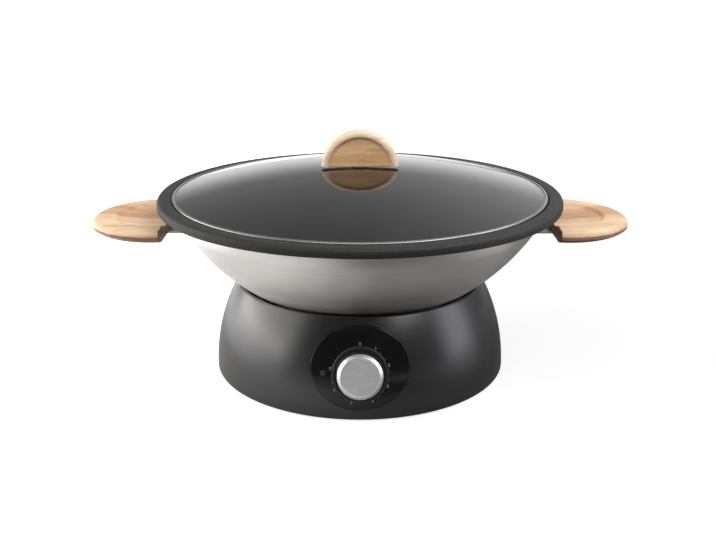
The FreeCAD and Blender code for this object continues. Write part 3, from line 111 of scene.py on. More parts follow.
# dial
PANEL_HALF_WIDTH = 43
PANEL_TOP_GAP = 5.9
PANEL_FOOT_GAP = 10
PANEL_TOP = BASE_TOP - PANEL_TOP_GAP
PANEL_FOOT = FOOT_DROP + PANEL_FOOT_GAP
PANEL_HALF_HEIGHT = (PANEL_TOP - PANEL_FOOT) / 2 / math.cos(DIAL_TILT)
PANEL_RAISE = ((PANEL_TOP + PANEL_FOOT) / 2 - DIAL_AT.z) / math.cos(DIAL_TILT)
PANEL_WALL = 1.4
PANEL_GAP = 0.15
SCALE_RADIUS = 24.6
SCALE_STAND = 0.8
SCALE_DEPTH = 2.9
DIAL_GAP = 0.3
DIAL_KNOB = 20.7
DIAL_KNOB_HEIGHT = 12
LENS_OFFSET = 32
LENS_RADIUS = 2.4
MARKS = 7
MARK_FIRST = 31
MARK_LAST = 280
MARK_STEP = (MARK_LAST - MARK_FIRST) / (MARKS - 1)
MARK_SHARES = 3
FIGURE_RING = 26.2
FIGURE_HEIGHT = 2.6
INK_WALL = 0.02

# lid
LID_RADIUS = LID_SEAT - 1
CONTACT_GAP = 0.3
BAND_WALL = 0.6
BAND_LIP = 2.6
GLASS_WALL = 3.6
LID_RISE = 23
GLASS_RADIUS = LID_RADIUS - BAND_WALL
GLASS_EDGE = RIM_TOP - LID_SEAT_DEPTH + CONTACT_GAP + BAND_WALL
DOME = (GLASS_RADIUS ** 2 + LID_RISE ** 2) / (2 * LID_RISE)
GLASS_TOP = GLASS_EDGE + GLASS_WALL + LID_RISE

# how finely meshes are made, and how they are joined and cut
ROUND_STEPS = 5
WELD = 1e-4
SMOOTH_ANGLE = math.radians(32)
CUT_MARGIN = 5

# ---- camera


def add_object(name, data):
    """A new object in the scene."""
    made = bpy.data.objects.new(name, data)
    bpy.context.scene.collection.objects.link(made)
    return made


def make_camera():
    """Stands where the photographer stood: in front of the dial, looking down on the lid."""
    data = bpy.data.cameras.new("camera")
    data.sensor_width = 36
    data.lens = 47.0
    data.clip_start = 0.05
    looks_down = 18.46
    camera = add_object("camera", data)
    camera.location = (-0.0018, -0.868, 0.3817)
    camera.rotation_euler = (math.radians(90 - looks_down), 0, 0)
    bpy.context.scene.camera = camera


# ---- outlines


def bow(start, end, radius, bend, steps=24):
    """Points of an arc from start to end, without the end. bend is 1 where the arc turns
    to the left on its way and -1 where it turns to the right."""
    ax, ay = start
    bx, by = end
    dx, dy = bx - ax, by - ay
    chord = math.hypot(dx, dy)
    away = math.sqrt(max(radius ** 2 - (chord / 2) ** 2, 0)) * bend
    cx = (ax + bx) / 2 - dy / chord * away
    cy = (ay + by) / 2 + dx / chord * away
    first = math.atan2(ay - cy, ax - cx)
    sweep = 2 * math.asin(min(chord / 2 / radius, 1)) * bend
    return [(cx + radius * math.cos(first + sweep * i / steps),
             cy + radius * math.sin(first + sweep * i / steps)) for i in range(steps)]


def rounded(points):
    """Replace each corner given as (x, y, radius) by an arc that touches both sides. An
    outline that starts on the axis is open, and its two ends stay as they are."""
    out = []
    count = len(points)
    for i, point in enumerate(points):
        at_end = points[0][0] == 0 and i in (0, count - 1)
        if len(point) == 2 or at_end:
            out.append((point[0], point[1]))
            continue
        here = Vector(point[:2])
        before = Vector(points[i - 1][:2]) - here
        after = Vector(points[(i + 1) % count][:2]) - here
        half = before.angle(after) / 2
        reach = min(point[2] / math.tan(half), 0.49 * before.length, 0.49 * after.length)
        radius = reach * math.tan(half)
        first = here + before.normalized() * reach
        last = here + after.normalized() * reach
        bend = 1 if (-before).cross(after) > 0 else -1
        out += bow(first[:], last[:], radius, bend, ROUND_STEPS)
        out.append(last[:])
    return out


# ---- meshes


def mesh_from(name, bm, matrix=Matrix()):
    """A mesh in metres from a bmesh in millimetres, which is used up."""
    mesh = bpy.data.meshes.new(name)
    bm.to_mesh(mesh)
    bm.free()
    mesh.transform(matrix)
    mesh.transform(Matrix.Scale(MM, 4))
    return mesh


def piece(name, bm, slot, body, replaces=(), extra=(), look=None, matrix=Matrix()):
    """Turn a bmesh into a smooth-shaded piece that rides on a body. It gets its slot's
    material, or the look named instead, and then any extra ones."""
    bmesh.ops.remove_doubles(bm, verts=bm.verts, dist=WELD)
    bmesh.ops.recalc_face_normals(bm, faces=bm.faces)
    mesh = mesh_from(name, bm, matrix)
    shade(mesh)
    for finish in (look or slot, *extra):
        mesh.materials.append(MATERIALS[finish])
    made = add_object(name, mesh)
    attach(made, body)
    if replaces:
        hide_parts(*replaces)
    return made


def turned_piece(name, outline, steps, *settings, **more):
    """A piece that is turned from an outline with rounded corners."""
    return piece(name, turn(rounded(outline), steps), *settings, **more)


def shade(mesh):
    """Smooth shading, with its real edges sharp."""
    mesh.shade_smooth()
    mesh.set_sharp_from_angle(angle=SMOOTH_ANGLE)


def moved(bm, matrix):
    """Move a bmesh, and give it back."""
    bmesh.ops.transform(bm, matrix=matrix, verts=bm.verts)
    return bm


def circle(steps):
    """The cosine and the sine of angles that are evenly spaced round a circle."""
    angles = [2 * math.pi * k / steps for k in range(steps)]
    return [(math.cos(angle), math.sin(angle)) for angle in angles]


def bridge(bm, low, high, index=0):
    """Join two rings of a bmesh by faces. A ring on the axis is one point many times."""
    for k in range(len(low)):
        n = (k + 1) % len(low)
        corners = dict.fromkeys((low[k], low[n], high[n], high[k]))
        bm.faces.new(list(corners)).material_index = index


def turn(outline, steps, zone=lambda i: 0):
    """A bmesh turned about Z from an outline of (radius, height). zone(i) gives the
    material index of the band that starts at outline point i."""
    bm = bmesh.new()
    on_axis = [radius < 1e-6 for radius, height in outline]
    rings = []
    for (radius, height), single in zip(outline, on_axis):
        if single:
            rings.append([bm.verts.new((0, 0, height))] * steps)
        else:
            rings.append([bm.verts.new((radius * x, radius * y, height))
                          for x, y in circle(steps)])
    for i, ring in enumerate(rings):
        after = (i + 1) % len(rings)
        if not (on_axis[i] and on_axis[after]):
            bridge(bm, ring, rings[after], zone(i))
    return bm


def cylinder(radius, low, high, steps):
    """A closed bmesh cylinder about Z."""
    return turn([(0, low), (radius, low), (radius, high), (0, high)], steps)


def slice_off(bm, point, outward, bevel, zone):
    """Cut a bmesh flat at a plane, keep the side behind it, and soften the new edge. The
    flat and its edge get the material index zone."""
    sharp = 0.3

    def on_plane(verts):
        return all(abs((v.co - Vector(point)).dot(Vector(outward))) < WELD for v in verts)

    geometry = bm.verts[:] + bm.edges[:] + bm.faces[:]
    done = bmesh.ops.bisect_plane(bm, geom=geometry, dist=1e-5, plane_co=point,
                                  plane_no=outward, clear_outer=True)
    edges = [item for item in done["geom_cut"] if isinstance(item, bmesh.types.BMEdge)]
    bmesh.ops.contextual_create(bm, geom=edges)
    for face in bm.faces:
        if on_plane(face.verts):
            face.material_index = zone
    edges = [edge for edge in bm.edges if len(edge.link_faces) == 2
             and on_plane(edge.verts) and edge.calc_face_angle(0) > sharp]
    bmesh.ops.bevel(bm, geom=edges, offset=bevel, segments=3, profile=0.6,
                    affect="EDGES", material=zone)


def block(width, depth, height, at=(0, 0, 0)):
    """A bmesh box that stands on the point given, centred on it in x and y."""
    bm = bmesh.new()
    bmesh.ops.create_cube(bm, size=1)
    x, y, z = at
    return moved(bm, Matrix.Translation((x, y, z + height / 2))
                 @ Matrix.Diagonal((width, depth, height, 1)))


def subtract(solid, cutters):
    """Cut closed bmeshes out of a piece, and keep its finish."""
    for bm in cutters:
        bmesh.ops.recalc_face_normals(bm, faces=bm.faces)
        cutter = add_object("cutter", mesh_from("cutter", bm))
        change = solid.modifiers.new("cut", "BOOLEAN")
        change.operation = "DIFFERENCE"
        change.solver = "EXACT"
        change.object = cutter
        result = evaluated_mesh(solid)
        solid.modifiers.clear()
        old = solid.data
        solid.data = result
        bpy.data.meshes.remove(old)
        bpy.data.objects.remove(cutter)
    shade(solid.data)


def evaluated_mesh(item):
    """A new mesh of what an object looks like with its modifiers, or as text."""
    bpy.context.view_layer.update()
    return bpy.data.meshes.new_from_object(
        item.evaluated_get(bpy.context.evaluated_depsgraph_get()))


def sweep(points, radius, sides=20):
    """A bmesh tube along points, closed at both ends."""
    bm = bmesh.new()
    rings = []
    side = None
    for i, point in enumerate(points):
        ahead = points[min(i + 1, len(points) - 1)] - points[max(i - 1, 0)]
        ahead.normalize()
        if side is None:
            side = ahead.orthogonal().normalized()
        side = (side - ahead * side.dot(ahead)).normalized()
        other = ahead.cross(side)
        rings.append([bm.verts.new(point + radius * (side * x + other * y))
                      for x, y in circle(sides)])
    for low, high in zip(rings, rings[1:]):
        bridge(bm, low, high)
    bm.faces.new(rings[0])
    bm.faces.new(reversed(rings[-1]))
    return bm


# ---- materials


class Nodes:
    """A node tree whose nodes are added and joined by name."""

    def __init__(self, tree):
        self.tree = tree

    def node(self, kind, settings=None, **inputs):
        node = self.tree.nodes.new("ShaderNode" + kind)
        for name, value in (settings or {}).items():
            setattr(node, name, value)
        for name, value in inputs.items():
            self.join(node.inputs[name.replace("_", " ")], value)
        return node

    def join(self, socket, value):
        if isinstance(value, bpy.types.NodeSocket):
            self.tree.links.new(value, socket)
        else:
            socket.default_value = value

    def math(self, operation, *values):
        node = self.node("Math", {"operation": operation})
        for socket, value in zip(node.inputs, values):
            self.join(socket, value)
        return node.outputs["Value"]

    def times(self, *values):
        return self.math("MULTIPLY", *values)

    def split(self, vector):
        """The three numbers of a vector."""
        node = self.node("SeparateXYZ", Vector=vector)
        return [node.outputs[axis] for axis in "XYZ"]

    def step(self, value, start, end, low=0.0, high=1.0):
        """Goes smoothly from low to high while the value goes from start to end."""
        node = self.node("MapRange", {"interpolation_type": "SMOOTHSTEP"}, Value=value,
                         From_Min=start, From_Max=end, To_Min=low, To_Max=high)
        return node.outputs["Result"]

    def blend(self, share, low, high):
        """A number between low and high, by a share from 0 to 1."""
        node = self.node("Mix", {"data_type": "FLOAT"})
        for socket, value in zip(node.inputs[:1] + node.inputs[2:4], (share, low, high)):
            self.join(socket, value)
        return node.outputs[0]


class Paint(Nodes):
    """A material with a Principled shader."""

    def __init__(self, name, **sockets):
        self.material = bpy.data.materials.new(name)
        self.material.use_nodes = True
        super().__init__(self.material.node_tree)
        self.shader = self.tree.nodes["Principled BSDF"]
        self.set(**sockets)

    def place(self, scale=(1, 1, 1)):
        """Object coordinates in metres, stretched by a scale."""
        where = self.node("TexCoord").outputs["Object"]
        return self.node("Mapping", Vector=where, Scale=scale).outputs["Vector"]

    def ring_place(self, scale):
        """Coordinates for turned metal: distance from the upright axis, and height."""
        x, y, z = self.split(self.node("TexCoord").outputs["Object"])
        reach = self.math("SQRT", self.math("ADD", self.times(x, x), self.times(y, y)))
        joined = self.node("CombineXYZ", X=self.times(reach, scale), Y=self.times(z, scale))
        return joined.outputs["Vector"]

    def noise(self, where, scale, detail=3.0, roughness=0.55):
        node = self.node("TexNoise", Vector=where, Scale=scale, Detail=detail,
                         Roughness=roughness)
        return node.outputs["Fac"]

    def ramp(self, value, *stops):
        """A colour ramp: each stop is (place, colour), a colour being a grey or an RGB."""
        node = self.node("ValToRGB", Fac=value)
        elements = node.color_ramp.elements
        while len(elements) < len(stops):
            elements.new(0.5)
        for element, (at, colour) in zip(elements, stops):
            element.position = at
            grey = isinstance(colour, (int, float))
            element.color = (colour, colour, colour, 1) if grey else (*colour, 1)
        return node.outputs["Color"]

    def bump(self, height, strength, distance, normal=None):
        node = self.node("Bump", Height=height, Strength=strength, Distance=distance)
        if normal is not None:
            self.join(node.inputs["Normal"], normal)
        return node.outputs["Normal"]

    def set(self, **values):
        for socket, value in values.items():
            self.join(self.shader.inputs[socket.replace("_", " ")], value)


def scaled(tone, by):
    """A tone made darker or paler."""
    return tuple(min(c * by, 1) for c in tone)


def clouded(name, scale, detail, tones, gloss, gloss_end=0.7, **sockets):
    """A paint whose tone and roughness go from one end to the other with a soft noise."""
    paint = Paint(name, **sockets)
    paint.cloud = paint.noise(paint.place(), scale, detail)
    paint.set(Base_Color=paint.ramp(paint.cloud, *zip((0.3, 0.7), tones)),
              Roughness=paint.ramp(paint.cloud, *zip((0.3, gloss_end), gloss)))
    return paint


def moulded_black(name, tone, rough, grain=1.0):
    """Moulded plastic: a fine spark-eroded texture and a few duller patches."""
    paint = Paint(name, IOR=1.68)
    here = paint.place()
    fine = paint.noise(here, 2600, 2)
    cloud = paint.noise(here, 34, 4)
    paint.set(Base_Color=paint.ramp(cloud, (0.25, scaled(tone, 0.85)),
                                    (0.75, scaled(tone, 1.15))),
              Roughness=paint.ramp(cloud, (0.2, rough - 0.03), (0.8, rough + 0.04)),
              Normal=paint.bump(fine, 0.05 * grain, 0.00008))
    return paint.material


def polished_black(name):
    """Polished plastic: almost even, with very faint haze."""
    return clouded(name, 60, 3, (0.003, 0.006), (0.10, 0.17), 0.8, IOR=1.5).material


def spun_steel(name, tone, rough):
    """Satin spun steel: fine rings round the axis and soft smudges."""
    paint = Paint(name, Metallic=1.0, Anisotropic=0.7, Anisotropic_Rotation=0.25)
    around = paint.node("Tangent", {"direction_type": "RADIAL", "axis": "Z"})
    paint.set(Tangent=around.outputs["Tangent"])
    rings = paint.noise(paint.ring_place(900), 1.0, 4, 0.7)
    wide = paint.noise(paint.ring_place(70), 1.0, 3)
    smudge = paint.noise(paint.place(), 16, 4)
    mixed = paint.math("ADD", paint.times(rings, 0.5), paint.times(smudge, 0.5))
    paint.set(Base_Color=paint.ramp(mixed, (0.3, scaled(tone, 0.88)),
                                    (0.7, scaled(tone, 1.08))))
    spread = paint.math("ADD", paint.times(rings, 0.16), paint.times(wide, 0.10))
    paint.set(Roughness=paint.math("ADD", spread, rough - 0.13),
              Normal=paint.bump(rings, 0.12, 0.00006))
    return paint.material


def plain_metal(name, tone, rough):
    """Sheet and screws: faint drawing lines and spotted brightness."""
    paint = Paint(name, Metallic=1.0)
    lines = paint.noise(paint.place((1, 14, 14)), 160, 3)
    paint.set(Base_Color=paint.ramp(lines, (0.3, scaled(tone, 0.85)), (0.7, tone)),
              Roughness=paint.ramp(lines, (0.2, rough - 0.06), (0.8, rough + 0.08)),
              Normal=paint.bump(lines, 0.05, 0.00005))
    return paint.material


def non_stick(name):
    """Black non-stick coating: fine speckle, slightly orange-peeled."""
    paint = Paint(name, IOR=1.30)
    here = paint.place()
    speckle = paint.noise(here, 1500, 2)
    peel = paint.noise(here, 420, 2)
    paint.set(Base_Color=paint.ramp(speckle, (0.45, (0.020, 0.020, 0.0195)),
                                    (0.66, (0.030, 0.030, 0.029)),
                                    (0.74, (0.13, 0.13, 0.125))),
              Roughness=paint.ramp(peel, (0.3, 0.50), (0.7, 0.62)),
              Normal=paint.bump(peel, 0.10, 0.0001))
    return paint.material


def smoked_glass(name):
    """Smoked tempered glass, with a faint film that varies its gloss."""
    tones = ((0.33, 0.34, 0.34), (0.37, 0.38, 0.38))
    return clouded(name, 22, 3, tones, (0.02, 0.05), 0.8, IOR=1.5,
                   Transmission_Weight=1.0).material


def wood(name, tones, painted_shade_band=None):
    """Light oiled wood with its grain along X: pores, streaks and slow colour drift. The
    tones go from the darkest streak to the palest. The last argument, when given, is a
    stripe from one Y to another in metres, painted redder and darker as shade on the far
    half of each grip's thumb hollow."""
    paint = Paint(name, IOR=1.45)
    long = paint.place((0.09, 1, 1))
    bend = paint.noise(paint.place((0.3, 1, 1)), 18, 2)
    pushed = paint.node("VectorMath", {"operation": "MULTIPLY_ADD"})
    paint.join(pushed.inputs[0], bend)
    pushed.inputs[1].default_value = (0.010, 0.010, 0.010)
    paint.join(pushed.inputs[2], long)
    along = pushed.outputs["Vector"]
    streak = paint.noise(along, 260, 5, 0.62)
    band = paint.noise(along, 62, 3, 0.5)
    pores = paint.noise(paint.place((0.05, 1, 1)), 1500, 2)
    mixed = paint.math("ADD", paint.times(streak, 0.55), paint.times(band, 0.45))
    base = paint.ramp(mixed, *zip((0.30, 0.44, 0.54, 0.70), tones))
    # Painted shade: the stripe is made redder and darker for the shade on the far half of a thumb hollow.
    if painted_shade_band:
        y = paint.split(along)[1]
        start, end = painted_shade_band
        fade = 0.005
        inside = paint.times(paint.step(y, start - fade, start + fade),
                             paint.step(y, end - fade, end + fade, 1.0, 0.0))
        base = paint.node("MixRGB", {"blend_type": "MULTIPLY"}, Fac=inside, Color1=base,
                          Color2=(0.80, 0.66, 0.58, 1)).outputs["Color"]
    dark = paint.ramp(pores, (0.30, (0.42, 0.34, 0.28)), (0.42, (1, 1, 1)))
    both = paint.node("MixRGB", {"blend_type": "MULTIPLY"}, Fac=0.45, Color1=base,
                      Color2=dark)
    paint.set(Base_Color=both.outputs["Color"],
              Roughness=paint.ramp(streak, (0.3, 0.52), (0.7, 0.42)))
    first = paint.bump(pores, 0.25, 0.00008)
    paint.set(Normal=paint.bump(streak, 0.18, 0.00012, first))
    return paint.material


def matt_rubber(name, tone):
    """Rubber, ceramic and dull plastic: a soft, slightly uneven surface."""
    paint = clouded(name, 300, 3, (scaled(tone, 0.8), tone), (0.72, 0.85), IOR=1.5)
    paint.set(Normal=paint.bump(paint.cloud, 0.1, 0.0001))
    return paint.material


def lamp_glass(name):
    """The pilot lamp's dark red lens, unlit."""
    tones = ((0.055, 0.022, 0.018), (0.080, 0.030, 0.024))
    return clouded(name, 900, 2, tones, (0.15, 0.25), IOR=1.5,
                   Transmission_Weight=0.35).material


def print_ink(name):
    """Pale grey print, a little uneven."""
    return clouded(name, 2500, 2, (0.42, 0.55), (0.45, 0.6), IOR=1.45).material


# what makes each material, and the tones and roughness it gets
LOOKS = {
    "housing_plastic": (moulded_black, (0.006, 0.0057, 0.0062), 0.31),
    "panel_gloss": (polished_black,),
    "dial_plastic": (moulded_black, (0.010, 0.010, 0.011), 0.36, 0.6),
    "inner_plastic": (matt_rubber, (0.62, 0.6, 0.55)),
    "knob_silver": (plain_metal, (0.78, 0.78, 0.79), 0.38),
    "knob_metal": (plain_metal, (0.84, 0.84, 0.85), 0.52),
    "steel": (plain_metal, (0.60, 0.60, 0.60), 0.32),
    "lens": (lamp_glass,),
    "element_metal": (plain_metal, (0.22, 0.21, 0.20), 0.48),
    "reflector": (spun_steel, (0.72, 0.72, 0.72), 0.30),
    "aluminium": (spun_steel, (0.70, 0.70, 0.71), 0.28),
    "copper": (plain_metal, (0.72, 0.38, 0.22), 0.3),
    "ceramic": (matt_rubber, (0.85, 0.83, 0.78)),
    "lead_rubber": (matt_rubber, (0.55, 0.52, 0.48)),
    "wok_steel": (spun_steel, (0.67, 0.65, 0.625), 0.36),
    "wok_coating": (non_stick,),
    "lid_glass": (smoked_glass,),
    "lid_band": (plain_metal, (0.36, 0.36, 0.345), 0.28),
    "brass": (plain_metal, (0.75, 0.58, 0.30), 0.25),
    "rubber": (matt_rubber, (0.022, 0.022, 0.022)),
    # painted shade: the last pair is a band across Y, in metres, painted redder and darker on the far half of each
    # grip's thumb hollow
    "wood": (wood, ((0.48, 0.295, 0.165), (0.63, 0.42, 0.25), (0.70, 0.50, 0.315),
                    (0.78, 0.595, 0.41)), (0.004, 0.034)),
    # painted highlight: a paler wood for the lid knob's lit border
    "wood_pale": (wood, ((0.58, 0.40, 0.25), (0.72, 0.54, 0.37),
                         (0.78, 0.62, 0.45), (0.84, 0.71, 0.56))),
    # painted shade: a darker, redder wood for the face inside the lid knob's hollows
    "wood_hollow": (wood, ((0.50, 0.26, 0.12), (0.72, 0.42, 0.21),
                           (0.82, 0.52, 0.28), (0.88, 0.62, 0.37))),
    # painted shade: a dark brown wood for the grips' swept underside
    "wood_under": (wood, ((0.17, 0.075, 0.04), (0.24, 0.115, 0.065),
                          (0.31, 0.155, 0.09), (0.38, 0.20, 0.12))),
    # painted shade: a near-black wood for faces in shade, the grips' inner ends and the knob's underside
    "wood_end": (wood, ((0.09, 0.035, 0.015), (0.15, 0.065, 0.025),
                        (0.20, 0.09, 0.04), (0.26, 0.13, 0.06))),
    "dial_ink": (print_ink,),
}
MATERIALS = {name: make(name, *settings) for name, (make, *settings) in LOOKS.items()}


def dress_cad_nodes():
    """Give every CAD node the material of its slot."""
    for part in frame["record"]["subparts"]:
        mesh = frame["nodes"][part["node"]].data
        mesh.materials.clear()
        mesh.materials.append(MATERIALS[part["material_slot"]])


# ---- the wok pan


def bowl_height(radius):
    """Height of the bowl's outer spherical wall at a radius."""
    return WOK_MIDDLE - math.sqrt(WOK_RADIUS ** 2 - radius ** 2)


def bowl_reach(height, inset=0.0):
    """Radius of the bowl's outer wall at a height, or of a wall inset from it."""
    return math.sqrt((WOK_RADIUS - inset) ** 2 - (WOK_MIDDLE - height) ** 2)


def make_wok():
    """The bowl, satin outside, with the black coating over its inside and its rim."""
    collar_base = RIM_TOP - COLLAR
    ledge = RIM_TOP - LID_SEAT_DEPTH
    under = ledge - WOK_WALL
    ledge_in = LID_SEAT - LEDGE_WIDTH
    ledge_out = ledge_in + WOK_WALL + COLLAR_ROUND
    floor_in = WOK_FLOOR + WOK_WALL
    flat_in = bowl_reach(floor_in, WOK_WALL)
    collar_foot = (bowl_reach(collar_base), collar_base)
    steel = [(0, WOK_FLOOR), (WOK_FLAT - 3, WOK_FLOOR)]
    steel += bow((WOK_FLAT, WOK_FLOOR + 0.4), collar_foot, WOK_RADIUS, 1, 44)
    steel += [collar_foot]
    steel += bow((ledge_in + WOK_WALL, under - COLLAR_ROUND), (ledge_out, under),
                 COLLAR_ROUND, -1, 5)
    steel += [(ledge_out, under)]
    seat_out = LID_SEAT + WOK_WALL
    skirt_in = RIM_RADIUS - WOK_WALL
    skirt_base = RIM_TOP - RIM_SKIRT
    step_round, fold, edge = 0.8, 1.2, 0.9
    rim = [(seat_out, under, step_round), (seat_out, RIM_TOP - WOK_WALL, fold),
           (skirt_in, RIM_TOP - WOK_WALL, fold), (skirt_in, skirt_base, edge),
           (RIM_RADIUS, skirt_base, edge), (RIM_RADIUS, RIM_TOP, RIM_ROUND),
           (LID_SEAT, RIM_TOP, 1.0), (LID_SEAT, ledge, step_round)]
    rim += bow((ledge_out, ledge), (ledge_in, under - COLLAR_ROUND),
               WOK_WALL + COLLAR_ROUND, 1, 8)
    rim += [(ledge_in, under - COLLAR_ROUND)]
    inside = bow((bowl_reach(collar_base, WOK_WALL), collar_base), (flat_in, floor_in),
                 WOK_RADIUS - WOK_WALL, -1, 44)
    inside += [(flat_in - 2, floor_in - 0.1), (flat_in - 8, floor_in), (0, floor_in)]
    outline = rounded(steel + rim + inside)
    coated_from = len(rounded(steel + rim[:1])) - 2
    bm = turn(outline, 288, zone=lambda i: 0 if i < coated_from else 1)
    piece("wok_bowl", bm, "wok_steel", "pan", ("wok_pan",), ("wok_coating",))


# ---- the housing


def barrel_reach(height, inset=0.0):
    """Radius of the housing's outer face at a height, or of a face inset from it."""
    return BARREL_MIDDLE + math.sqrt((BARREL - inset) ** 2 - (height - FOOT_DROP) ** 2)


def on_barrel(across, up, inset):
    """The point of the housing's wall, inset from its outer face, that lies behind a
    place on the dial's plane: found by stepping along the dial axis."""
    out, rounds = 0.0, 12
    for _ in range(rounds):
        point = DIAL_AT + Vector((across, 0, 0)) + DIAL_UP * up + DIAL_OUT * out
        miss = math.hypot(point.x, point.y) - barrel_reach(point.z, inset)
        out -= miss / math.cos(DIAL_TILT)
    return point


def panel_solid(inner_radius, levels, steps, rows):
    """A closed slice of the wall between a ring hole and the panel's oval. levels lists,
    from the front to the back, (edge growth, inset) of the slice's rim."""
    bm = bmesh.new()

    def loop(share, grow, inset):
        ring = []
        for x, y in circle(steps):
            ix, iy = inner_radius * x, inner_radius * y
            ox = (PANEL_HALF_WIDTH + grow) * x
            oy = PANEL_RAISE + (PANEL_HALF_HEIGHT + grow) * y
            ring.append(bm.verts.new(on_barrel(ix + (ox - ix) * share, iy + (oy - iy) * share,
                                               inset)))
        return ring

    loops = [loop(row / rows, *levels[0]) for row in range(rows)]
    loops += [loop(1.0, *level) for level in levels]
    loops += [loop(row / rows, *levels[-1]) for row in range(rows - 1, -1, -1)]
    for here, there in zip(loops, loops[1:] + loops[:1]):
        bridge(bm, here, there)
    return bm


def make_housing():
    """The moulding: barrel wall, rounded crest, sloping mouth and ledge, with the let-in
    for the panel, the ring's well and the cord's hole."""
    edge, fold, foot_round, foot_band = 0.5, 1, 0.9, 1.2
    crest_in = BASE_TOP_RADIUS - 1.8 * CREST_ROUND
    crest_z = bowl_height(crest_in) - SEAT_GAP
    mouth_z = bowl_height(MOUTH) - SEAT_GAP
    mouth_out = MOUTH + HOUSING_WALL
    ledge = bowl_height(MOUTH - LEDGE) - LEDGE_DROP
    under = ledge - HOUSING_WALL
    joint_z = crest_z - 2 * HOUSING_WALL
    foot_in = BASE_RADIUS - HOUSING_WALL
    wall_base = FOOT_DROP + foot_band
    wall_top = (BASE_TOP_RADIUS, BASE_TOP - CREST_ROUND)
    outline = [(foot_in, FOOT_DROP, edge), (BASE_RADIUS, FOOT_DROP, foot_round)]
    outline += bow((barrel_reach(wall_base), wall_base), wall_top, BARREL, 1, 60)
    outline += bow(wall_top, (crest_in, crest_z), CREST_ROUND, 1, 10)
    outline += [(crest_in, crest_z), (MOUTH, mouth_z, 0.8), (MOUTH, ledge),
                (MOUTH - LEDGE, ledge, edge), (MOUTH - LEDGE, under, edge),
                (mouth_out, under, fold), (mouth_out, mouth_z - HOUSING_WALL, fold)]
    outline += bow((barrel_reach(joint_z, HOUSING_WALL), joint_z),
                   (foot_in, FOOT_DROP + fold), BARREL - HOUSING_WALL, -1, 30)
    shell = turned_piece("housing_shell", outline, 360, "housing_plastic", "base",
                         ("base_housing",))
    pinhole, room_front, well_front, inlet_length = 1e-4, -4, 9, 40
    room = panel_solid(pinhole, [(PANEL_GAP, room_front), (PANEL_GAP, PANEL_WALL)], 144, 14)
    well = cylinder(SCALE_RADIUS + PANEL_GAP, -SCALE_DEPTH, well_front, 144)
    inlet = cylinder(GLAND_NECK + GLAND_GAP, 0, inlet_length, 64)
    inlet_at = Matrix.Translation((0, GLAND_LOW.y - CUT_MARGIN, 0)) @ inlet_frame()
    subtract(shell, [room, moved(well, DIAL_FRAME), moved(inlet, inlet_at)])
    well_margin, well_back, well_floor = 2.6, -6.3, -3.1
    floor = cylinder(SCALE_RADIUS + well_margin, well_back, well_floor, 96)
    piece("housing_well", floor, "housing_plastic", "base", matrix=DIAL_FRAME)


def inlet_frame():
    """A frame under the wok's axis, at the gland's height, with its z to the rear."""
    height = (GLAND_LOW.z + GLAND_HIGH.z) / 2
    return Matrix.Translation((0, 0, height)) @ Matrix.Rotation(-math.pi / 2, 4, "X")


def make_bosses():
    """The four screw bosses with their ribs, inside the housing."""
    bore, radius, height = 1.6, 5, 22
    rib_offset, rib_length, rib_wall, rib_height = 10, 11, 2, 13.2
    cover_top = cad("bottom_cover")[0].z + COVER_WALL
    outline = [(bore, 0), (radius, 0, 0.4), (radius, height, 0.6), (bore, height, 0.3)]
    for number in range(4):
        turned = Matrix.Rotation(math.radians(45 + 90 * number), 4, "Z")
        turned_piece(f"boss_{number + 1}", outline, 40, "housing_plastic", "base",
                     matrix=turned @ Matrix.Translation((BOSS_RING, 0, cover_top)))
        rib = block(rib_length, rib_wall, rib_height, (BOSS_RING + rib_offset, 0, cover_top))
        piece(f"rib_{number + 1}", rib, "housing_plastic", "base", matrix=turned)


def make_panel():
    """The polished oval, let in flush, with softened edges."""
    levels = [(-0.5, 0.02), (-0.2, 0.08), (-0.04, 0.25), (0, 0.5), (0, PANEL_WALL - 0.05)]
    bm = panel_solid(SCALE_RADIUS + PANEL_GAP, levels, 192, 16)
    piece("panel_front", bm, "panel_gloss", "base", ("control_panel",))


def make_scale():
    """The ring round the knob, and on the panel round it the printed figures and ticks."""
    bore = 4.2
    lip_in = SCALE_RADIUS - 2.9
    dish = SCALE_STAND - 0.35
    outline = [(bore, -SCALE_DEPTH), (SCALE_RADIUS, -SCALE_DEPTH, 0.2),
               (SCALE_RADIUS, SCALE_STAND, 0.7), (lip_in, SCALE_STAND, 0.4),
               (lip_in - 0.4, dish, 0.3), (bore, dish)]
    turned_piece("scale_dish", outline, 192, "dial_plastic", "base", ("scale_ring",),
                 matrix=DIAL_FRAME)
    inks = bmesh.new()
    for number in range(MARKS + 1):
        clockwise = MARK_FIRST + (number - 1) * MARK_STEP if number else 0
        figure = text_bmesh(str(number), FIGURE_HEIGHT)
        add_bmesh(inks, moved(figure, on_panel(clockwise, FIGURE_RING)))
    tick_ring, tick_width, tick_length = FIGURE_RING - 0.9, 0.35, 0.5
    for number in range(MARK_SHARES * (MARKS - 1)):
        if number % MARK_SHARES:
            clockwise = MARK_FIRST + number * MARK_STEP / MARK_SHARES
            tick = block(tick_width, tick_length, INK_WALL)
            add_bmesh(inks, moved(tick, on_panel(clockwise, tick_ring)))
    piece("scale_marks", inks, "dial_plastic", "base", look="dial_ink")


def on_panel(degrees, radius):
    """A place on the panel's face, clockwise round the dial, with its z out of the face."""
    clockwise = math.radians(degrees)
    across, up = radius * math.sin(clockwise), radius * math.cos(clockwise)
    near = 0.5
    here = on_barrel(across, up, -INK_WALL)
    side = (on_barrel(across + near, up, -INK_WALL) - here).normalized()
    rise = (on_barrel(across, up + near, -INK_WALL) - here).normalized()
    out = side.cross(rise).normalized()
    turned = Matrix((side, out.cross(side), out)).transposed().to_4x4()
    return Matrix.Translation(here) @ turned


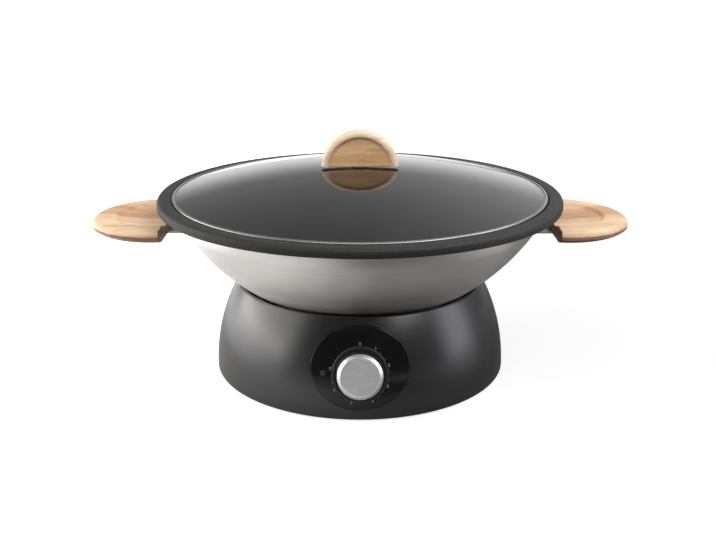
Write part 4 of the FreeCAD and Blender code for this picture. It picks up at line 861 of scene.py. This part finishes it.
def add_bmesh(target, source):
    """Add a bmesh to another one, and free it."""
    mesh = bpy.data.meshes.new("joined")
    source.to_mesh(mesh)
    source.free()
    target.from_mesh(mesh)
    bpy.data.meshes.remove(mesh)


def text_bmesh(text, height):
    """A figure as a thin closed mesh, centred on its place."""
    data = bpy.data.curves.new("figure", "FONT")
    data.body = text
    data.size = height * 1.4
    data.extrude = 0.012
    data.align_x = data.align_y = "CENTER"
    data.resolution_u = 3
    holder = add_object("figure", data)
    mesh = evaluated_mesh(holder)
    bm = bmesh.new()
    bm.from_mesh(mesh)
    bpy.data.objects.remove(holder)
    bpy.data.meshes.remove(mesh)
    return bm


def make_knob():
    """The control knob: a dark side, a bright collar and bevel round a sunk brushed cap,
    and a pointer notch in the bevel."""
    bore, hub, wall, foot_band = 3.1, 6, 2.2, 1.6
    hollow, side, face = DIAL_KNOB - wall, DIAL_KNOB - 1.0, DIAL_KNOB - 4.3
    back = SCALE_STAND + DIAL_GAP
    front = back + DIAL_KNOB_HEIGHT
    collar, bevel, seat = front - 3.2, front - 2.7, front - 1.4
    outline = rounded([
        (bore, back), (hub, back, 0.3), (hub, seat - wall), (hollow, seat - wall),
        (hollow, back, 0.4), (DIAL_KNOB, back, 0.5), (DIAL_KNOB, back + foot_band, 0.3),
        (DIAL_KNOB - 0.25, back + foot_band + 0.4, 0.3), (side, collar), (side, bevel, 0.5),
        (face + 0.4, front, 0.5), (face + 0.1, front - 0.25, 0.2), (face, seat),
        (bore, seat)])

    def dark(i):
        """0 for the bright collar, bevel and inner lip, 1 for the rest."""
        lower = min(outline[i][1], outline[(i + 1) % len(outline)][1])
        return 0 if lower >= collar - 0.01 and outline[i][0] > face - 0.5 else 1

    shell = piece("knob_ring", turn(outline, 192, zone=dark), "knob_silver", "knob",
                  ("control_knob",), ("dial_plastic",), matrix=DIAL_FRAME)
    notch_width, notch_length, notch_height, notch_depth = 1.3, 3.4, 4, 0.75
    notch = block(notch_width, notch_length, notch_height,
                  (0, face + 2.4, front - notch_depth))
    subtract(shell, [moved(notch, DIAL_FRAME)])
    cap_radius, cap_top = face - 0.1, seat + 0.9
    cap = [(0, seat), (cap_radius, seat), (cap_radius, cap_top - 0.15, 0.25),
           (cap_radius - 1.3, cap_top, 0.4), (0, cap_top)]
    turned_piece("knob_face", cap, 160, "knob_metal", "knob", ("knob_cap",),
                 matrix=DIAL_FRAME)


def make_lens():
    """The pilot lamp's lens, just proud of the panel."""
    turned = math.asin(LENS_OFFSET / barrel_reach(DIAL_AT.z))
    flange, back, flange_front, stand, top = 3.2, -4.2, -3.1, 0.15, 0.4
    outline = [(0, back), (flange, back), (flange, flange_front),
               (LENS_RADIUS, flange_front), (LENS_RADIUS, stand, 0.25)]
    outline += bow((LENS_RADIUS * 0.8, stand + 0.05), (0, top), LENS_RADIUS * 4, 1, 6)
    outline += [(0, top)]
    turned_piece("lens_dome", outline, 64, "lens", "base", ("indicator_lens",),
                 matrix=Matrix.Rotation(-turned, 4, "Z") @ DIAL_FRAME)


def make_gland():
    """The bushing in the cord's hole: a bored neck, a clip inside and a flange outside."""
    inner, outer, wall = GLAND_LOW.y, GLAND_HIGH.y, BASE_RADIUS + GLAND_GAP
    bore, clip, clip_length, flange = 3.7, 8, 3, 9
    outline = [(bore, inner, 0.5), (GLAND_NECK, inner, 0.5),
               (clip, inner + clip_length / 2, 0.4), (clip, inner + clip_length, 0.3),
               (GLAND_NECK, inner + clip_length), (GLAND_NECK, wall), (flange, wall, 0.3),
               (flange, outer, 1.2), (bore, outer, 0.8)]
    turned_piece("inlet_bushing", outline, 96, "dial_plastic", "base", ("cord_gland",),
                 matrix=inlet_frame())


def make_feet():
    """The four rubber feet: a tread, a waist in the cover's hole and a tapered plug."""
    tread, side, shoulder, waist, plug = 7.5, 8.5, 8, 3.8, 5.2
    waist_base, waist_top = 3.5, 6
    for name in ("rear_right", "rear_left", "front_left", "front_right"):
        low, high = cad(f"foot_{name}")
        middle = (low + high) / 2
        outline = [(0, 0.6), (4.5, 0.6, 0.6), (5.2, 0, 0.4), (tread, 0, 0.6), (side, 1, 0.6),
                   (shoulder, waist_base, 0.4), (waist, waist_base), (waist, waist_top),
                   (plug, waist_top, 0.4), (3, high.z, 0.8), (0, high.z)]
        turned_piece(f"foot_pad_{name}", outline, 64, "rubber", "base", (f"foot_{name}",),
                     matrix=Matrix.Translation((middle.x, middle.y, 0)))


# ---- the heater


def make_heater():
    """The heater's two turns and cold ends, and the drawn reflector under them."""
    tube, inner_turn, outer_turn, leg_length, corner = 3.25, 28, 46, 21, 2.6
    opening, steps = math.radians(20), 120
    height = WOK_FLOOR - CONTACT_GAP - tube
    arc = 2 * math.pi - 2 * opening
    angles = [opening + arc * i / steps for i in range(steps + 1)]
    inner, outer = ([Vector((radius * math.cos(a), radius * math.sin(a), height))
                     for a in angles] for radius in (inner_turn, outer_turn))
    leg = Vector((0, 0, leg_length))
    path = soft_corners([inner[0] - leg, *inner, *outer[::-1], outer[0] - leg], corner)
    piece("heater_tube", sweep(path, tube), "element_metal", "base", ("heating_element",))
    low, high = cad("reflector_bowl")
    bore, wall, flat, bend = 4, 0.8, 70, 70
    flange_in = MOUTH - LEDGE - 1
    flange_under, floor_in, flat_in = high.z - wall, low.z + wall, flat - wall / 2
    outline = [(bore, low.z)]
    outline += bow((flat, low.z), (flange_in, flange_under), bend, 1, 20)
    outline += [(flange_in, flange_under), (high.x, flange_under), (high.x, high.z)]
    outline += bow((flange_in - wall, high.z), (flat_in, floor_in), bend, -1, 20)
    outline += [(flat_in, floor_in), (bore, floor_in)]
    piece("reflector_dish", turn(outline, 192), "reflector", "base", ("reflector_bowl",))


def soft_corners(path, radius):
    """Round the sharp corners of a path of points by short arcs."""
    gentle, steps = 0.4, 6
    out = [path[0]]
    for before, here, after in zip(path, path[1:], path[2:]):
        arriving, leaving = here - before, after - here
        if arriving.angle(leaving) < gentle:
            out.append(here)
            continue
        reach = min(radius, arriving.length * 0.45, leaving.length * 0.45)
        first = here - arriving.normalized() * reach
        last = here + leaving.normalized() * reach
        for i in range(steps + 1):
            share = i / steps
            out.append(first.lerp(here, share).lerp(here.lerp(last, share), share))
    out.append(path[-1])
    return out


# ---- the side grips


def make_grips():
    """The two turned half-discs, each with a dished thumb hollow and a swept underside
    that is painted dark brown as shade, slotted for its bracket."""
    low, high = cad("grip_right")
    disc, corner, side_round = 64, 6, 40
    bevel_width, bevel_height = 14, 5.5
    recess, recess_depth, dish_depth = 41, 2.4, 2.6
    tongue, tongue_width, tongue_wall = 44, 44, 2
    bevel_in = (disc - bevel_width, low.z)
    bevel_out = (disc, low.z + bevel_height)
    side_top = (disc, high.z - corner)
    top_out = (disc - corner, high.z)
    ring = high.z - recess_depth
    dish = ring - dish_depth
    outline = [(0, low.z), bevel_in]
    outline += bow(bevel_in, bevel_out, 1.6 * bevel_width, 1, 12)
    outline += bow(bevel_out, side_top, side_round, 1, 6)
    outline += bow(side_top, top_out, corner, 1, 12)
    outline += [top_out, (recess + 2, high.z, 1.5), (recess - 1.5, ring, 2.5)]
    outline += bow((recess - 6, ring - 0.35), (0, dish),
                   (recess ** 2 + dish_depth ** 2) / (2 * dish_depth), -1, 16)
    outline = rounded([*outline, (0, dish)])
    # Painted shade: the underside and the side below this height get a dark brown wood that stands for shade.
    painted_shade_top = low.z + 1.4 * bevel_height
    for name, side in (("left", -1), ("right", 1)):
        bm = turn(outline, 256, zone=lambda i: 2 if outline[i][1] < painted_shade_top else 0)
        moved(bm, Matrix.Translation((side * (high.x - disc), 0, 0)))
        # Painted shade: the flat inner end, cut where the grip meets its bracket under the rim, gets a near-black
        # wood for its shade.
        slice_off(bm, (side * low.x, 0, 0), (-side, 0, 0), bevel=0.9, zone=1)
        grip = piece(f"grip_wood_{name}", bm, "wood", "pan", (f"grip_{name}",),
                     ("wood_end", "wood_under"))
        middle = side * (low.x + tongue / 2 - CUT_MARGIN)
        slot = block(tongue + 2 * CUT_MARGIN, tongue_width + 0.2, tongue_wall + 1,
                     (middle, 0, low.z - 1))
        subtract(grip, [slot])


# ---- lid


def dome_height(radius, top=GLASS_TOP):
    """Height of the glass dome's outer face at a radius, or of a face with its own top."""
    return top - DOME + math.sqrt(DOME ** 2 - radius ** 2)


def make_lid():
    """The glass dome with ground edges, and its steel band."""
    hole, steps = 4, 40
    under = GLASS_TOP - GLASS_WALL
    edge_top = GLASS_EDGE + GLASS_WALL
    radii = [GLASS_RADIUS * i / steps for i in range(1, steps)]
    outline = [(hole, dome_height(hole, under), 0.4)]
    outline += [(radius, dome_height(radius, under)) for radius in radii]
    outline += [(GLASS_RADIUS, GLASS_EDGE, 0.5), (GLASS_RADIUS, edge_top, 0.5)]
    outline += [(radius, dome_height(radius)) for radius in radii[::-1]]
    outline += [(hole, dome_height(hole), 0.4)]
    turned_piece("glass_dome", outline, 288, "lid_glass", "lid", ("lid_glass",))
    slope = GLASS_RADIUS / math.sqrt(DOME ** 2 - GLASS_RADIUS ** 2)
    lip = LID_RADIUS - BAND_LIP
    rise = (BAND_LIP - BAND_WALL) * slope
    band = [(lip, GLASS_EDGE + rise - BAND_WALL, 0.2),
            (LID_RADIUS, GLASS_EDGE - BAND_WALL, 0.7),
            (LID_RADIUS, edge_top + BAND_WALL, 0.9),
            (lip, edge_top + rise + BAND_WALL, 0.3),
            (lip, edge_top + rise - 0.02), (GLASS_RADIUS, edge_top),
            (GLASS_RADIUS, GLASS_EDGE), (lip, GLASS_EDGE + rise - 0.05)]
    turned_piece("lid_band", band, 288, "lid_band", "lid", ("lid_rim",))


def make_lid_fastening():
    """The gasket, the washer and the screw that hold the wooden knob on the glass."""
    low, high = cad("lid_gasket")
    bore = 4.2
    gasket = [(bore, low.z + 0.05, 0.2), (high.x, low.z - 0.05, 0.4), (high.x, high.z, 0.3),
              (bore, high.z)]
    turned_piece("knob_gasket", gasket, 96, "rubber", "lid", ("lid_gasket",))
    low, high = cad("lid_washer")
    shank = 2
    bore = shank + 0.1
    washer = [(bore, low.z), (high.x, low.z, 0.5), (high.x, high.z, 0.2), (bore, high.z)]
    turned_piece("knob_washer", washer, 96, "steel", "lid", ("lid_washer",))
    low, high = cad("lid_screw")
    drive_floor, head_side, head_top = low.z + 0.7, low.z + 0.9, low.z + 1.8
    screw = [(0, drive_floor), (0.9, drive_floor), (1.1, low.z, 0.1), (high.x * 0.7, low.z),
             (high.x, head_side, 0.5), (high.x, head_top), (shank, head_top),
             (shank, high.z - 1), (0, high.z)]
    turned_piece("knob_screw", screw, 48, "steel", "lid", ("lid_screw",))


def make_lid_grip():
    """The wooden knob: an upright half-disc with a hollow in each face."""
    low, high = cad("lid_grip")
    disc, width, recess, border, corner = 36.5, 14, 2, 6, 5
    half = width / 2
    floor = half - recess
    hollow = disc - border
    round_in = (disc - corner, half)
    round_out = (disc, half - corner)
    front = rounded([(0, floor), (hollow - 1.6, floor, 3), (hollow + 0.6, half, 1.2),
                     round_in])
    front += bow(round_in, round_out, corner, -1, 12)[1:] + [round_out]
    outline = front + [(radius, -height) for radius, height in front[::-1]]
    # Painted shade: the face inside each hollow gets a darker, redder wood that stands for its shade.
    bm = turn(outline, 224, zone=lambda i: 1 if outline[i][0] < hollow - 1 else 0)
    upright = Matrix.Rotation(math.pi / 2, 4, "X")
    moved(bm, Matrix.Translation((0, 0, high.z - disc)) @ upright)
    # Painted shade: the flat underside over the glass gets a near-black wood for its shade.
    slice_off(bm, (0, 0, low.z), (0, 0, -1), bevel=0.5, zone=2)
    # Painted highlight: apart from its hollows and underside, the knob gets a paler wood that stands for the light
    # on its rounded border.
    piece("knob_wood", bm, "wood", "lid", ("lid_grip",), ("wood_hollow", "wood_end"),
          "wood_pale")


# ---- studio


def make_floor():
    """A floor that is white to the camera and keeps the object's shadow. To the object's
    glossy faces it shows a grey painted as shade, pale on the left and grey in front and on
    the right, and painted reflections that glow where the lamps and the backdrop would shine."""
    mesh = bpy.data.meshes.new("floor")
    reach = 9
    mesh.from_pydata([(-reach, -reach, 0), (reach, -reach, 0), (reach, reach, 0),
                      (-reach, reach, 0)], [], [(0, 1, 2, 3)])
    floor = add_object("floor", mesh)
    paint = Paint("floor_white", Roughness=0.9, Specular_IOR_Level=0.0)
    where = paint.place()
    x, y = paint.split(where)[:2]
    distance = paint.node("VectorMath", {"operation": "LENGTH"}, Vector=where)
    far = paint.step(distance.outputs["Value"], 0.55, 1.0)
    clear = paint.math("MAXIMUM", far, paint.step(y, -0.30, -0.20, 1.0, 0.0))
    rays = paint.node("LightPath")
    seen = paint.math("MAXIMUM", rays.outputs["Is Camera Ray"],
                      rays.outputs["Is Transmission Ray"])
    direct = paint.times(seen, paint.blend(clear, 0.80, 1.0))
    # Painted reflections: the floor glows to glossy rays only, where the backdrop and the lamps would shine in it.
    painted_reflections = paint.times(rays.outputs["Is Glossy Ray"], floor_glow(paint, x, y, far))
    # Painted shade: the floor's grey darkens to the right and to the front.
    tone = floor_tone(paint, x, y)
    grey = paint.node("CombineColor", Red=tone, Green=tone, Blue=tone)
    paint.set(Base_Color=grey.outputs["Color"], Emission_Color=(1, 1, 1, 1),
              Emission_Strength=paint.math("ADD", direct, painted_reflections))
    mesh.materials.append(paint.material)


def floor_tone(paint, x, y):
    """The floor's grey, painted as shade: it darkens from the left to the right and towards
    the front, for a floor lit from the left and shaded by the object on its right and in front.
    """
    across = paint.times(paint.step(x, -0.16, 0.05, 0.84, 0.27),
                         paint.step(x, 0.02, 0.24, 1.0, 0.6))
    front = paint.blend(paint.step(x, -0.12, 0.0), paint.step(y, -0.37, -0.23, 0.35, 1.0),
                        paint.step(y, -0.29, -0.21, 0.35, 1.0))
    return paint.times(across, front)


def floor_glow(paint, x, y, far):
    """The floor's painted reflections: the backdrop far behind the object, and a lamp on its
    left and one on its right."""
    behind = paint.times(paint.step(y, -0.2, 0.4), paint.step(x, 0.35, 0.9, 1.0, 0.3))
    left = paint.times(paint.step(x, -0.38, -0.26, 0.9, 0.0), paint.step(y, -0.18, -0.02))
    right = paint.times(paint.step(x, 0.22, 0.38, 0.0, 0.5),
                        paint.step(y, -0.08, 0.06, 1.0, 0.0))
    return paint.math("MAXIMUM", paint.times(far, behind), paint.math("ADD", left, right))


def make_world():
    """White to the camera. To the object, a backdrop behind it, white low in its middle,
    dimmer at both sides and above, and less dim above on the right, and a dark room in
    front of it. x, y and z are the direction that is looked in."""
    world = bpy.data.worlds.new("studio")
    bpy.context.scene.world = world
    world.use_nodes = True
    world.node_tree.nodes.clear()
    room = Nodes(world.node_tree)
    x, y, z = room.split(room.node("TexCoord").outputs["Generated"])
    above = room.blend(room.step(x, -0.1, 0.45), 0.41, 0.76)
    middle = room.times(room.step(x, 0.25, 0.65, 1.0, 0.22),
                        room.step(x, -0.70, -0.30, 0.45, 1.0))
    below = room.times(middle, 1.1)
    backdrop = room.blend(room.step(z, 0.06, 0.30), below, above)
    front = room.blend(room.step(z, 0.4, 0.8), 0.09, 0.26)
    level = room.blend(room.step(y, -0.35, 0.25), front, backdrop)
    rays = room.node("LightPath")
    strength = room.math("MAXIMUM", level, rays.outputs["Is Camera Ray"])
    shader = room.node("Background", Strength=strength, Color=(1, 1, 1, 1))
    out = room.node("OutputWorld")
    room.join(out.inputs["Surface"], shader.outputs["Background"])


def softbox(name, place, width, height, radiance, colour=(1, 1, 1), aim=(0, 0, 0.1)):
    """An area lamp that is aimed at a point and shines with a stated radiance."""
    data = bpy.data.lights.new(name, "AREA")
    data.shape = "RECTANGLE"
    data.size = width
    data.size_y = height
    data.energy = radiance * math.pi * width * height
    data.color = colour
    lamp = add_object(name, data)
    lamp.location = place
    ahead = Vector(aim) - Vector(place)
    lamp.rotation_euler = ahead.to_track_quat("-Z", "Y").to_euler()


def make_lights():
    """Warm lamps on the left, cool and neutral ones on the right, and two from above."""
    warm, blush, cool = (1.0, 0.985, 0.96), (1.0, 0.97, 0.97), (0.90, 0.90, 1.0)
    softbox("left_softbox", (-1.55, 0.46, 0.66), 1.15, 1.1, 3.3, warm)
    softbox("left_fill", (-1.52, -0.56, 0.66), 1.0, 1.1, 2.5, warm)
    softbox("left_low", (-1.45, 0.02, 0.20), 1.7, 0.36, 2.8, blush, aim=(0, 0, 0.15))
    softbox("right_strip", (1.59, -0.20, 0.47), 0.80, 0.94, 2.6, cool, aim=(0, 0, 0.3))
    softbox("right_fill", (1.05, -1.05, 1.40), 0.9, 0.9, 3.8)
    softbox("top_softbox", (0.05, -0.95, 1.8), 2.2, 0.9, 3.3)
    softbox("top_right_softbox", (1.2, 0.1, 1.5), 1.0, 1.2, 3.6)


bpy.context.scene.view_settings.view_transform = "Standard"
make_camera()
dress_cad_nodes()
make_floor()
make_world()
make_lights()
make_wok()
make_housing()
make_bosses()
make_panel()
make_scale()
make_knob()
make_lens()
make_gland()
make_feet()
make_heater()
make_grips()
make_lid()
make_lid_fastening()
make_lid_grip()
